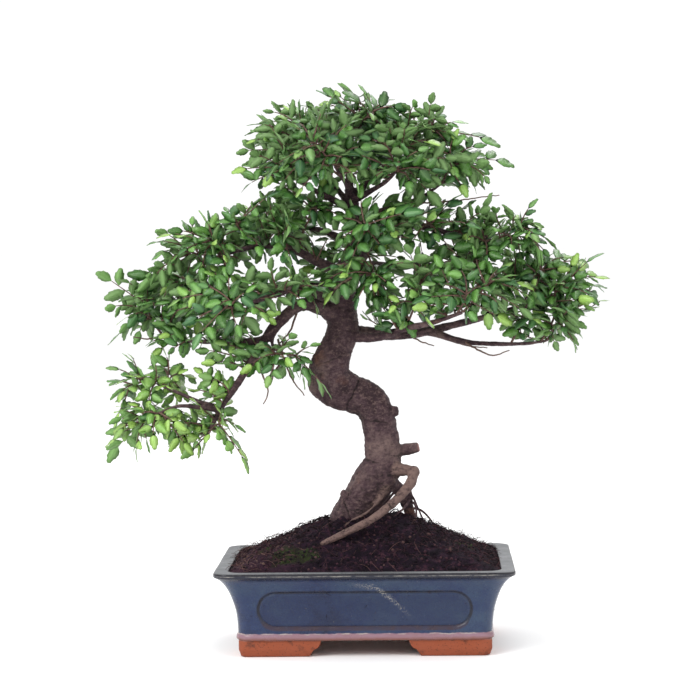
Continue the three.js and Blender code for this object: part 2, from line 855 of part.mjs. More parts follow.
// A shoot as a closed blade with the same triangles on both faces, arched down along its rib
function shootSolid(base, along, facing, leaves, seed) {
  const across = facing.clone().cross(along).normalize();
  const outline = shootOutline(leaves, seed);
  const reach = leaves * NODE_SPACING + LEAF_LENGTH[1];
  const flat = outline.map(([u, v]) => new THREE.Vector2(u, v));
  const sheet = THREE.ShapeUtils.triangulateShape(flat, []);
  const layer = (lift) => outline.map(([u, v, height]) => base.clone()
    .addScaledVector(along, u)
    .addScaledVector(across, v)
    .addScaledVector(facing, height - SHOOT_ARCH * (u / reach) ** 2 + lift));
  const count = outline.length;
  const faces = [];
  for (const [a, b, c] of sheet) {
    faces.push([a, c, b]);
    faces.push([a + count, b + count, c + count]);
  }
  for (let i = 0; i < count; i += 1) {
    const next = (i + 1) % count;
    faces.push([i, next, next + count]);
    faces.push([i, next + count, i + count]);
  }
  const half = BLADE_THICKNESS / 2;
  return solidFromLists([...layer(-half), ...layer(half)], faces);
}

// Whether two boxes come nearer than the gap
function boxesMeet(a, b) {
  return [0, 1, 2].every((axis) => a.min[axis] < b.max[axis] + GAP && b.min[axis] < a.max[axis] + GAP);
}

// Whether a solid keeps the gap to everything in a list
function isClear(solid, others) {
  const box = solid.boundingBox();
  return others.every((other) => !boxesMeet(box, other.box) || solid.minGap(other.solid, GAP * 2) >= GAP);
}

const boxed = (solid) => ({ solid, box: solid.boundingBox() });

// Where on its limb a spray starts: near its tip, but back towards the trunk, as shoots lean forwards
function sprayStart(limb, tip) {
  const curve = new THREE.CatmullRomCurve3(limb.route.map(vector), false, 'centripetal');
  const starts = [];
  for (let i = FIRST_PLACE; i <= START_PLACES; i += 1) {
    const t = i / START_PLACES;
    const point = curve.getPointAt(t);
    const tangent = curve.getTangentAt(t);
    const away = tip.clone().sub(point);
    const forward = away.clone().normalize().dot(tangent);
    starts.push({ cost: away.length() - forward * FORWARD_LEAN, point, tangent });
  }
  return starts.sort((a, b) => a.cost - b.cost)[0];
}

// The tip of a cloud's spray, spread evenly over the cloud's outside
function sprayTip(cloud, index, turned) {
  const share = (index + 0.5) / cloud.sprays;
  const height = THREE.MathUtils.lerp(TIP_HIGHEST, TIP_LOWEST, share);
  const turn = index * GOLDEN_ANGLE + turned;
  const flat = Math.sqrt(1 - height * height);
  const out = new THREE.Vector3(flat * Math.cos(turn), flat * Math.sin(turn), height);
  return vector(cloud.at).add(out.multiply(vector(cloud.half)).multiplyScalar(TWIG_REACH));
}

// The way a twig's leaves face: up and out of the cloud
function twigFacing(route, middle) {
  const outward = route(FACING_PLACE).middle.sub(middle).normalize();
  return outward.multiplyScalar(FACING_OUT).addScaledVector(UP, FACING_UP).normalize();
}

// Tries a shoot at a few turns and rolls until it is clear of everything else
function growShoot(shoot, spray, others, side) {
  const { middle: base, tangent } = spray.route(shoot.start);
  for (let attempt = 0; attempt < SHOOT_TRIES; attempt += 1) {
    const draw = (count) => sway(attempt, spray.seed + 20 + count);
    const lean = new THREE.Vector3(draw(1), draw(2), draw(3));
    const face = spray.facing.clone().addScaledVector(lean, shoot.roll + TRY_ROLL * attempt).normalize();
    const forward = tangent.clone().addScaledVector(face, -face.dot(tangent)).normalize();
    const along = forward.applyAxisAngle(face, side * shoot.turn + TURN_SWAY * draw(4));
    const solid = shootSolid(base, along, face, shoot.leaves, spray.seed + shoot.draw);
    if (isClear(solid, others)) {
      return solid;
    }
  }
  return null;
}

// A twig's route from its limb to the cloud's outside, a little further round and more bent at each try
function twigRoute(cloud, index, seed, attempt) {
  const turned = chance(seed, 1) * Math.PI * 2 + TRY_TURN * attempt * (attempt % 2 ? 1 : -1);
  const tip = sprayTip(cloud, index, turned);
  const start = sprayStart(LIMBS[cloud.limb], tip);
  const reach = tip.distanceTo(start.point);
  const draw = (count) => sway(attempt, seed + count);
  const bend = new THREE.Vector3(draw(5), draw(6), TWIG_RISE + draw(7));
  const control = start.point.clone().lerp(tip, 0.5)
    .addScaledVector(start.tangent, reach * TWIG_FORWARD)
    .addScaledVector(bend, reach * (TWIG_BEND + TRY_BEND * attempt));
  return stretches(new THREE.QuadraticBezierCurve3(start.point, control, tip), TWIG_STEPS);
}

// The bare twig of a spray, cut where it leaves the wood, clear of all other twigs
function startSpray(cloud, index, seed, wood, others) {
  for (let attempt = 0; attempt < TWIG_TRIES; attempt += 1) {
    const route = twigRoute(cloud, index, seed, attempt);
    const facing = twigFacing(route, vector(cloud.at));
    const whole = twigSolid(route, TWIG_HALF, TWIG_STEPS, facing);
    const left = whole.subtract(wood).decompose().sort((a, b) => b.volume() - a.volume());
    const [twig] = left;
    if (twig && twig.volume() > whole.volume() * TWIG_LEFT && isClear(twig, others)) {
      const name = `spray_${cloud.name}_${index + 1}`;
      return { name, solid: twig, pieces: [boxed(twig)], route, facing, seed };
    }
  }
  return null;
}

// Adds a spray's shoots, each clear of every other spray and of the wood
function growSpray(spray, others) {
  const side = chance(1, spray.seed + 20) > 0.5 ? 1 : -1;
  const own = [];
  for (const shoot of SHOOTS) {
    const solid = growShoot(shoot, spray, [...others, ...own], side);
    if (solid !== null) {
      own.push(boxed(solid));
      spray.solid = spray.solid.add(solid);
    }
  }
  spray.pieces.push(...own);
}

// A solid's outer body alone, with the small hollows filled that its joins have sealed
function withoutHollows(solid) {
  const [body] = solid.decompose().sort((a, b) => b.volume() - a.volume());
  return body;
}

// Gives a finished solid its name and finish, in the group that stands at the pot's centre
function addNode(group, name, solid, { colour, roughness }) {
  const mesh = withoutHollows(solid.simplify(CORNERS_MEET)).getMesh();
  const geometry = new THREE.BufferGeometry();
  geometry.setAttribute('position', new THREE.Float32BufferAttribute(mesh.vertProperties, 3));
  geometry.setIndex([...mesh.triVerts]);
  const material = new THREE.MeshStandardMaterial({ color: colour, roughness, metalness: 0 });
  const node = new THREE.Mesh(geometry, material);
  node.name = name;
  group.add(node);
}

const FINISHES = {
  glaze: { colour: 0x3f5878, roughness: 0.25 },
  bark: { colour: 0x75655a, roughness: 0.85 },
  soil: { colour: 0x35282a, roughness: 0.95 },
  plastic: { colour: 0x2c3d33, roughness: 0.6 },
  leaf: { colour: 0x3f7a32, roughness: 0.45 },
};

const bonsai = new THREE.Group();
bonsai.position.set(...POT_CENTRE);

addNode(bonsai, 'pot', makePot(), FINISHES.glaze);
addNode(bonsai, 'drain_mesh_left', makeDrainMesh(-DRAIN_X), FINISHES.plastic);
addNode(bonsai, 'drain_mesh_right', makeDrainMesh(DRAIN_X), FINISHES.plastic);

const buriedHoles = [makeTrunk(GAP), ...BURIED.map((name) => taperedLimb(LIMBS[name], GAP))];
addNode(bonsai, 'soil', makeSoil(buriedHoles), FINISHES.soil);
addNode(bonsai, 'tree', makeWood(), FINISHES.bark);

const woodAndGap = makeWood(GAP);

const sprays = [];
CLOUDS.forEach((cloud, place) => {
  for (let index = 0; index < cloud.sprays; index += 1) {
    const grown = sprays.flatMap((spray) => spray.pieces);
    const spray = startSpray(cloud, index, place * 100 + index * 7 + 1, woodAndGap, grown);
    if (spray !== null) {
      sprays.push(spray);
    }
  }
});
const wood = boxed(woodAndGap);
for (const spray of sprays) {
  const others = sprays.filter((other) => other !== spray).flatMap((other) => other.pieces);
  growSpray(spray, [wood, ...others]);
  addNode(bonsai, spray.name, spray.solid, FINISHES.leaf);
}

const scene = new THREE.Group();
scene.add(bonsai);

export default scene;
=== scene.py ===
"""Looks of a Chinese elm bonsai and its glazed pot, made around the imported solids.

Lists of places are in millimetres from the pot's own centre, as the solids were laid out.
Every mesh is in metres in the row frame.
"""

import json
import logging
import math
from dataclasses import dataclass, field
from enum import Enum
from typing import Any, Iterable, Sequence

import bpy
import numpy as np
from mathutils import Matrix, Vector, noise

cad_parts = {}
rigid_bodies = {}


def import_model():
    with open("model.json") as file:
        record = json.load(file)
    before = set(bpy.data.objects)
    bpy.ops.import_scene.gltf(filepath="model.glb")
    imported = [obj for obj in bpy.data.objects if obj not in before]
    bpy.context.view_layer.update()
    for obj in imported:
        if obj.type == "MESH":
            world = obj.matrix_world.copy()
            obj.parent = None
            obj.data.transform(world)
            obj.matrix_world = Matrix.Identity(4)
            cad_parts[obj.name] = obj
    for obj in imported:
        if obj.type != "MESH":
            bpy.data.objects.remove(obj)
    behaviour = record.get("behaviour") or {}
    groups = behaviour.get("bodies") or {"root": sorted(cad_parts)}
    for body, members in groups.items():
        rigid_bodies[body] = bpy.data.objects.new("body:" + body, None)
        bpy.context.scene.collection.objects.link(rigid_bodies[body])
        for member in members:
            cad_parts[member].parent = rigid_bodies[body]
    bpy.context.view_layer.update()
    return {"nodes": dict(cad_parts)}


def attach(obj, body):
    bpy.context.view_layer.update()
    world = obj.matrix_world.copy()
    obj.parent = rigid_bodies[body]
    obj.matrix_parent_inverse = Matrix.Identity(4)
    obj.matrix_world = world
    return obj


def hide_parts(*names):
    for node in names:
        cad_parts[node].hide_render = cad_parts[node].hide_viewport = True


log = logging.getLogger("bonsai")

Spot = tuple[float, ...]
Socket = bpy.types.NodeSocket
Material = bpy.types.Material
Object = bpy.types.Object
NodeTree = bpy.types.NodeTree
Array = np.ndarray

MM = 0.001
POT_CENTRE = np.array([12.0, 0.0, 0.0])
GOLDEN_ANGLE = math.pi * (3 - math.sqrt(5))
UP = np.array([0.0, 0.0, 1.0])
CORNER_SIGNS = ((1, -1), (1, 1), (-1, 1), (-1, -1))


@dataclass(frozen=True)
class Limb:
    """A limb, root or stub: its radius at both ends and its route, from inside what it grows from."""

    thick: float
    thin: float
    route: Sequence[Spot]


@dataclass(frozen=True)
class Cloud:
    """A cloud of foliage: the limb that carries it, its middle, its half sizes and its sprays."""

    name: str
    limb: str
    at: Spot
    half: Spot
    sprays: int


# The trunk from its buried foot to the fork: place and radius
TRUNK: list[Spot] = [
    (-15, 2, 62, 14), (-17, 2, 84, 18), (-14, 0, 104, 18), (-9, -1, 113, 18.2), (-2, -2, 124, 17),
    (6, -3, 137, 17.6), (13, -3, 149, 17), (14.5, -2, 160, 15.4), (14.2, -2, 170, 14.9), (13, 0, 182, 14.3),
    (10.8, 2, 195, 14.6), (4, 3, 207.5, 15.2), (-10, 2, 213.5, 15.6), (-24.4, 0, 220.5, 18.2),
    (-29.4, -2, 233, 17), (-26.2, -3, 244, 15.3), (-21.2, -2, 256, 13.4), (-17.8, 0, 267, 13.2),
    (-18, 3, 280, 13.4), (-19, 6, 293, 12.8), (-17, 8, 305, 12.2), (-13, 8, 317, 11.4), (-7, 6, 330, 10.6),
    (-2, 3, 342, 9.4), (-2, 0, 354, 8.4), (-7, -3, 364, 7.6), (-9, -4, 374, 6.6), (-9, -4, 382, 5.4),
]

# Swellings and old scars of the trunk: middle and half sizes
SCARS: list[tuple[Spot, Spot]] = [
    ((-34.5, -3, 223), (14.2, 12, 15)),
    ((25.4, -4, 198), (4.4, 4, 5.6)),
    ((-18, -13, 124), (4, 5, 10)),
    ((41, -20, 147.5), (6, 6, 6)),
    ((34.5, 8, 123), (6.2, 6, 11)),
]

# Creases that cross the trunk: a place on each, the way across it and how far it runs
CREASES: list[tuple[Spot, Spot, float]] = [
    ((-9, -14, 215), (0.92, 0, -0.39), 17),
    ((4, -12, 157), (0.3, 0, 0.95), 13),
    ((-15, -14, 114), (0.93, 0, 0.36), 11),
    ((12, -12, 189), (0.1, 0, 1), 8),
    ((-27, -12, 243), (-0.3, 0, 0.95), 9),
]

LIMBS: dict[str, Limb] = {
    "low_left": Limb(6.6, 1.6, [(-20, -2, 279), (-50, -14, 291), (-69, -26, 278), (-83, -34, 261),
        (-96, -38, 240), (-110, -38, 219), (-121, -36, 203), (-132, -32, 182)]),
    "low_left_a": Limb(2.6, 1.2, [(-120, -36, 204), (-137, -38, 210), (-156, -34, 218), (-176, -28, 226)]),
    "low_left_b": Limb(2.4, 1.2, [(-120, -36, 204), (-137, -44, 206), (-154, -50, 208), (-172, -54, 202)]),
    "left_low_edge": Limb(3.2, 1.3, [(-83, -34, 261), (-112, -24, 260), (-140, -12, 260),
        (-170, -2, 263)]),
    "left_mid": Limb(5.4, 1.6, [(-19, 6, 291), (-48, 18, 300), (-82, 30, 305), (-116, 38, 300),
        (-148, 40, 294)]),
    "left_front": Limb(4.4, 1.5, [(-18, 4, 306), (-50, -28, 306), (-78, -48, 298), (-108, -58, 290)]),
    "left_high": Limb(4.8, 1.4, [(-14, 7, 316), (-38, 4, 326), (-62, 2, 338), (-91, -8, 340),
        (-122, -14, 332)]),
    "left_high_back": Limb(4, 1.4, [(-6, 5, 336), (-23, 22, 348), (-46, 36, 355), (-76, 48, 354)]),
    "right_main": Limb(6.2, 1.7, [(-19, 1, 266), (12, 8, 264), (36, 12, 263), (56, 14, 266),
        (79, 17, 271), (105, 21, 277), (134, 26, 286)]),
    "right_tip": Limb(3.2, 1.2, [(56, 14, 266), (84, 2, 257), (112, -6, 255), (140, -4, 255),
        (156, 0, 257)]),
    "right_front": Limb(4.8, 1.5, [(-20, -1, 264), (10, -18, 262), (36, -34, 270), (61, -46, 276),
        (84, -54, 284)]),
    "right_back": Limb(4.6, 1.5, [(-10, 8, 322), (18, 34, 322), (49, 50, 322), (84, 58, 321)]),
    "right_high": Limb(4.6, 1.4, [(-2, 3, 343), (20, 4, 354), (44, 2, 356), (72, 0, 350), (104, -2, 342)]),
    "back": Limb(4.2, 1.6, [(-17, 8, 303), (-11, 40, 308), (-8, 62, 312), (-8, 80, 314)]),
    "crown_left": Limb(3.6, 1.3, [(-9, -4, 371), (-28, -12, 381), (-46, -15, 391), (-58, -13, 402)]),
    "crown_left_back": Limb(3.2, 1.2, [(-9, -4, 373), (-22, 18, 389), (-34, 34, 404), (-42, 44, 416)]),
    "crown_front": Limb(3.2, 1.2, [(-9, -4, 379), (-12, -24, 391), (-18, -38, 401), (-22, -46, 408)]),
    "crown_mid": Limb(4, 1.2, [(-9, -4, 378), (-11, 3, 400), (-8, 7, 422), (-8, 9, 438)]),
    "crown_front_right": Limb(3.2, 1.2, [(-9, -4, 377), (8, -20, 386), (22, -34, 394), (30, -42, 402)]),
    "crown_right": Limb(3.8, 1.3, [(-6, -2, 363), (24, 2, 371), (50, 4, 380), (68, 4, 392)]),
    "crown_back": Limb(3.4, 1.2, [(-9, -4, 376), (0, 24, 392), (9, 44, 402), (15, 56, 410)]),
    "crown_right_top": Limb(3.4, 1.2, [(-9, -4, 380), (8, 6, 396), (26, 10, 412), (40, 12, 426)]),
    "centre_front": Limb(3.4, 1.5, [(-6, 5, 331), (0, -12, 340), (6, -26, 345)]),
    "under_left": Limb(2.6, 1.2, [(-69, -26, 277), (-76, -34, 263), (-74, -40, 250)]),
    "stub": Limb(5.4, 4.5, [(16, 0, 161), (34, -2, 165), (46, -4, 167.5)]),
    "arching_root": Limb(5.4, 2.6, [(18, -6, 146), (31, -13, 149), (39.5, -19, 148), (40, -25, 141),
        (29, -34, 128), (18, -41, 119), (3, -46, 109), (-15, -48, 100.5), (-37, -49, 90)]),
    "leg_root": Limb(5.6, 4, [(16, 1, 143), (27, 6, 132), (34, 9, 120), (38, 10, 108), (40, 10, 84)]),
    "thin_front_root": Limb(1.9, 1.4, [(17, -8, 142), (18, -12, 136), (14.5, -17, 128), (9.5, -19, 121),
        (4.3, -21, 116), (-2, -23, 111.5), (-10.4, -25, 108), (-19, -26, 101)]),
}

CLOUDS: list[Cloud] = [
    Cloud("crown_left", "crown_left", (-62, -10, 420), (40, 38, 45), 2),
    Cloud("crown_left_back", "crown_left_back", (-48, 34, 432), (40, 34, 36), 1),
    Cloud("crown_front", "crown_front", (-26, -42, 416), (42, 32, 40), 2),
    Cloud("crown_top", "crown_mid", (-5, 6, 450), (46, 40, 25), 1),
    Cloud("crown_front_right", "crown_front_right", (32, -40, 412), (40, 32, 38), 2),
    Cloud("crown_right", "crown_right", (74, 2, 405), (36, 38, 30), 2),
    Cloud("crown_right_top", "crown_right_top", (48, 10, 434), (38, 38, 31), 1),
    Cloud("crown_back", "crown_back", (18, 44, 416), (42, 30, 38), 1),
    Cloud("centre_front", "centre_front", (12, -34, 354), (40, 26, 30), 1),
    Cloud("trunk_front", "centre_front", (-6, -36, 312), (34, 22, 28), 1),
    Cloud("left_top", "left_high", (-54, -8, 372), (40, 34, 20), 1),
    Cloud("left_high", "left_high", (-92, -12, 352), (46, 36, 28), 2),
    Cloud("left_high_tip", "left_high", (-140, -16, 335), (40, 34, 30), 2),
    Cloud("left_high_back", "left_high_back", (-78, 38, 350), (46, 30, 28), 1),
    Cloud("left_near", "left_front", (-62, -38, 304), (36, 26, 24), 1),
    Cloud("left_front", "left_front", (-112, -48, 296), (44, 30, 30), 2),
    Cloud("left_mid", "left_mid", (-158, 32, 300), (44, 34, 30), 2),
    Cloud("left_edge", "left_low_edge", (-179, 0, 288), (34, 34, 30), 1),
    Cloud("under_left", "under_left", (-68, -42, 245), (28, 22, 25), 1),
    Cloud("low_left_outer", "low_left_a", (-180, -20, 225), (36, 30, 26), 2),
    Cloud("low_left_front", "low_left_b", (-177, -46, 191), (38, 28, 26), 1),
    Cloud("low_left_knob", "low_left", (-134, -34, 188), (30, 26, 28), 1),
    Cloud("right_high", "right_high", (60, -4, 358), (46, 38, 26), 2),
    Cloud("right_high_tip", "right_high", (120, -6, 346), (44, 34, 28), 2),
    Cloud("right_front", "right_front", (88, -44, 300), (54, 32, 32), 2),
    Cloud("right_near", "right_front", (36, -36, 302), (34, 26, 34), 1),
    Cloud("right_main", "right_main", (152, 20, 306), (44, 34, 32), 2),
    Cloud("right_tip", "right_tip", (150, -4, 276), (36, 28, 23), 2),
    Cloud("right_back", "right_back", (92, 42, 320), (52, 28, 30), 1),
    Cloud("back", "back", (-12, 46, 324), (44, 20, 34), 1),
    Cloud("right_edge", "right_tip", (175, 6, 296), (30, 28, 28), 1),
]

# Looser foliage that belongs to the nearest spray
LOOSE_CLOUDS: list[Cloud] = [
    Cloud("limb_leaves", "low_left", (-106, -34, 252), (26, 20, 20), 0),
    Cloud("left_low", "left_low_edge", (-140, -14, 262), (48, 26, 16), 0),
    Cloud("near_fork", "right_front", (24, -30, 284), (24, 20, 16), 0),
    Cloud("knee", "low_left", (-128, -34, 222), (18, 18, 18), 0),
    Cloud("right_low", "right_tip", (162, -2, 264), (26, 20, 15), 0),
]

# Dead and bare twigs that carry no leaves
BARE_TWIGS: list[list[Spot]] = [
    [(-56, -18, 284), (-62, -24, 268), (-74, -28, 254), (-80, -26, 240)],
    [(-72, -26, 262), (-66, -30, 244), (-60, -28, 228), (-50, -26, 214)],
    [(-84, -34, 260), (-92, -30, 250), (-96, -24, 244), (-104, -20, 240)],
    [(-92, -38, 246), (-84, -42, 232), (-80, -40, 218), (-84, -36, 208)],
    [(-66, -29, 244), (-74, -30, 236), (-78, -34, 224)],
    [(-40, 3, 327), (-43, -6, 338), (-52, -12, 346)],
    [(-40, 4, 326), (-36, -8, 334), (-30, -14, 345)],
    [(-40, 4, 326), (-48, 12, 336), (-56, 16, 344)],
    [(60, 14, 267), (74, 22, 258), (90, 26, 252), (106, 28, 250)],
    [(84, 2, 258), (98, -10, 250), (110, -16, 246), (124, -18, 250)],
    [(36, 12, 263), (50, 22, 256), (60, 30, 252)],
    [(134, 26, 286), (160, 24, 282), (184, 20, 280), (203, 20, 289)],
    [(-170, -2, 265), (-186, 2, 262), (-198, 4, 264)],
    [(24, -2, 371), (50, -10, 375), (80, -10, 377), (104, -8, 380), (117, -6, 381)],
]

# Thin dark roots beside the leg root
FINE_ROOTS: list[list[Spot]] = [
    [(31, 8, 129), (39.5, 3, 125), (44.7, 1, 114.6), (51, 1, 100)],
    [(36, 8, 122), (42.5, 0, 117), (43, -4, 109), (37, -8, 98)],
    [(38, 2, 122), (33, -5, 115.5), (26, -9, 110), (18, -12, 103)],
    [(26, 3, 130), (19, 0, 121.5), (15.5, -3, 115), (12, -5, 104)],
    [(12, -2, 126), (16.6, -4, 117.5), (18.5, -5, 104)],
    [(34, 8, 114), (46, 12, 112), (53, 14, 106), (60, 14, 96)],
]


def chance(count: float, seed: float) -> float:
    """Gives a repeatable number from 0 to 1.

    Args:
        count: Which number of the series.
        seed: Which series.

    Returns:
        The number.
    """
    wave = math.sin(count * 127.1 + seed * 311.7) * 43758.5453
    return wave - math.floor(wave)


def sway(count: float, seed: float) -> float:
    """Gives a repeatable number from -1 to 1 for a count and a seed."""
    return chance(count, seed) * 2 - 1


def unit(vector: Array) -> Array:
    """Gives a vector's direction."""
    return vector / np.linalg.norm(vector)


def mix(a: Any, b: Any, share: float) -> Any:
    """Gives what lies that share of the way from a to b."""
    return a + (b - a) * share


def turned(vector: Array, axis: Array, angle: float) -> Array:
    """Turns a vector about an axis through the origin.

    Args:
        vector: What is turned.
        axis: A unit vector.
        angle: Radians, by the right-hand rule.

    Returns:
        The turned vector.
    """
    across = np.cross(axis, vector)
    along = axis * axis.dot(vector)
    return along + (vector - along) * math.cos(angle) + across * math.sin(angle)


def quarter_turned(quarter: int, x: float, y: float) -> tuple[float, float]:
    """Turns a place in plan by quarters of a turn, from 0 to 3."""
    return ((x, y), (-y, x), (-x, -y), (y, -x))[quarter]


def metres(points: Iterable[Spot]) -> Array:
    """Turns places in millimetres from the pot's centre into metres in the row frame."""
    return (np.asarray(points, float) + POT_CENTRE) * MM


def rough(place: Sequence[float], size: float, depth: int = 3) -> float:
    """Gives a soft bump of about -1 to 1 at a place.

    Args:
        place: Millimetres.
        size: Width of the widest bumps, in millimetres.
        depth: How many finer layers are added.

    Returns:
        The bump's height.
    """
    return noise.fractal(Vector(place) / size, 1.0, 2.0, depth)


class SmoothRoute:
    """A smooth curve through points, with places at even shares of its length."""

    PIECES = 200
    REACH = 0.0001

    def __init__(self, points: Sequence[Spot]) -> None:
        """Measures the curve through these points."""
        self.points = np.array(points, float)
        places = np.array([self.point(i / self.PIECES) for i in range(self.PIECES + 1)])
        steps = np.linalg.norm(np.diff(places, axis=0), axis=1)
        self.lengths = np.concatenate([[0], np.cumsum(steps)])

    def point(self, t: float) -> Array:
        """Gives the place at a share of the points' count."""
        points = self.points
        last = len(points) - 1
        index = min(last - 1, int(t * last))
        share = t * last - index
        start, end = points[index], points[index + 1]
        before = points[index - 1] if index > 0 else 2 * start - end
        after = points[index + 2] if index + 2 <= last else 2 * end - start
        gaps = [max(1e-4, np.linalg.norm(b - a) ** 0.5) for a, b in
                ((before, start), (start, end), (end, after))]
        leave = (start - before) / gaps[0] - (end - before) / (gaps[0] + gaps[1]) + (end - start) / gaps[1]
        arrive = (end - start) / gaps[1] - (after - start) / (gaps[1] + gaps[2]) + (after - end) / gaps[2]
        leave, arrive = leave * gaps[1], arrive * gaps[1]
        square, cube = share * share, share ** 3
        return (start + leave * share + (3 * (end - start) - 2 * leave - arrive) * square
                + (2 * (start - end) + leave + arrive) * cube)

    def share(self, along: float) -> float:
        """Turns a share of the length into a share of the points' count."""
        return float(np.interp(along * self.lengths[-1], self.lengths, np.linspace(0, 1, self.PIECES + 1)))

    def at(self, along: float) -> Array:
        """Gives the place at a share of the length."""
        return self.point(self.share(along))

    def way(self, along: float) -> Array:
        """Gives the direction at a share of the length."""
        middle = self.share(along)
        low, high = max(0.0, middle - self.REACH), min(1.0, middle + self.REACH)
        return unit(self.point(high) - self.point(low))

    @property
    def length(self) -> float:
        """The curve's length."""
        return float(self.lengths[-1])


def bent(start: Array, control: Array, end: Array, count: int) -> Array:
    """Gives evenly spaced points on a curve with one bend.

    Args:
        start: Its first point.
        control: The point that pulls its middle.
        end: Its last point.
        count: How many points less one.

    Returns:
        The points, one row each.
    """
    shares = np.linspace(0, 1, SmoothRoute.PIECES + 1)[:, None]
    fine = (1 - shares) ** 2 * start + 2 * (1 - shares) * shares * control + shares ** 2 * end
    lengths = np.concatenate([[0], np.cumsum(np.linalg.norm(np.diff(fine, axis=0), axis=1))])
    wanted = np.linspace(0, lengths[-1], count + 1)
    return np.stack([np.interp(wanted, lengths, fine[:, axis]) for axis in range(3)], axis=1)


def linked(name: str, data: Any) -> Object:
    """Makes an object of a mesh, camera or lamp and puts it in the scene."""
    made = bpy.data.objects.new(name, data)
    bpy.context.scene.collection.objects.link(made)
    return made


@dataclass
class MeshDraft:
    """Corners and faces that are gathered before they become a mesh."""

    corners: list[Sequence[float]] = field(default_factory=list)
    faces: list[Sequence[int]] = field(default_factory=list)

    def add(self, corners: Iterable[Sequence[float]], faces: Iterable[Sequence[int]]) -> None:
        """Adds a body with its own count of corners."""
        start = len(self.corners)
        self.corners.extend(corners)
        self.faces.extend([[start + index for index in face] for face in faces])

    def loft(self, rings: Sequence[Sequence[Sequence[float]]]) -> None:
        """Adds a closed body through rings of equal count, with flat ends.

        Args:
            rings: Each ring runs left about the way to the next.
        """
        count = len(rings[0])
        faces = [[count - 1 - i for i in range(count)]]
        for level in range(len(rings) - 1):
            low = level * count
            for i in range(count):
                after = (i + 1) % count
                faces.append([low + i, low + after, low + count + after, low + count + i])
        last = (len(rings) - 1) * count
        faces.append([last + i for i in range(count)])
        self.add([point for ring in rings for point in ring], faces)

    def tube(self, points: Sequence[Array], radii: Sequence[float], sides: int) -> None:
        """Adds a closed tube along points.

        Args:
            points: The middle line.
            radii: One radius a point.
            sides: How many sides it has.
        """
        side = np.array([1.0, 0.0, 0.0])
        rings = []
        for index, (point, radius) in enumerate(zip(points, radii)):
            way = unit(points[min(index + 1, len(points) - 1)] - points[max(index - 1, 0)])
            if abs(side.dot(way)) > 0.98:
                side = np.array([0.0, 1.0, 0.0])
            side = unit(side - way * side.dot(way))
            other = np.cross(way, side)
            angles = [k / sides * 2 * math.pi for k in range(sides)]
            rings.append([point + radius * (side * math.cos(a) + other * math.sin(a)) for a in angles])
        self.loft(rings)

    def build(self, name: str) -> Object:
        """Makes the smooth object, with millimetres turned into metres in the row frame."""
        mesh = bpy.data.meshes.new(name)
        mesh.from_pydata(metres(self.corners).tolist(), [], self.faces)
        mesh.shade_smooth()
        return linked(name, mesh)


def settled(piece: Object) -> Object:
    """Turns a piece's modifiers into plain mesh.

    Args:
        piece: An object with live modifiers.

    Returns:
        The same object without them.
    """
    sheet = bpy.context.evaluated_depsgraph_get()
    plain = bpy.data.meshes.new_from_object(piece.evaluated_get(sheet))
    piece.modifiers.clear()
    piece.data = plain
    return piece


def corners_of(piece: Object) -> Array:
    """Gives a piece's corners in millimetres from the pot's centre."""
    flat = np.zeros(len(piece.data.vertices) * 3)
    piece.data.vertices.foreach_get("co", flat)
    return flat.reshape(-1, 3) / MM - POT_CENTRE


def place_corners(piece: Object, corners: Array) -> None:
    """Puts a piece's corners at places in millimetres from the pot's centre."""
    piece.data.vertices.foreach_set("co", metres(corners).ravel())
    piece.data.update()


def normals_of(piece: Object) -> Array:
    """Gives the way that each corner of a piece faces."""
    flat = np.zeros(len(piece.data.vertices) * 3)
    piece.data.vertex_normals.foreach_get("vector", flat)
    return flat.reshape(-1, 3)


def mark(piece: Object, name: str, values: Sequence[Any], kind: str = "FLOAT") -> None:
    """Stores one value a corner under a name that materials and trees can read.

    Args:
        piece: The object.
        name: The attribute's name.
        values: Numbers, or vectors where kind is FLOAT_VECTOR.
        kind: Blender's name of the data type.
    """
    attribute = piece.data.attributes.new(name, kind, "POINT")
    key = "vector" if kind == "FLOAT_VECTOR" else "value"
    attribute.data.foreach_set(key, np.asarray(values, float).ravel())


def hand_over(piece: Object, slot: str, *nodes: str) -> None:
    """Makes a finished piece part of the object.

    Args:
        piece: The object, in place.
        slot: The record's material slot. Not used.
        nodes: The CAD nodes that it stands for.
    """
    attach(piece, "root")
    if nodes:
        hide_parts(*nodes)
    log.info("%s: %d faces, stands for %s", piece.name, len(piece.data.polygons), nodes or "nothing")


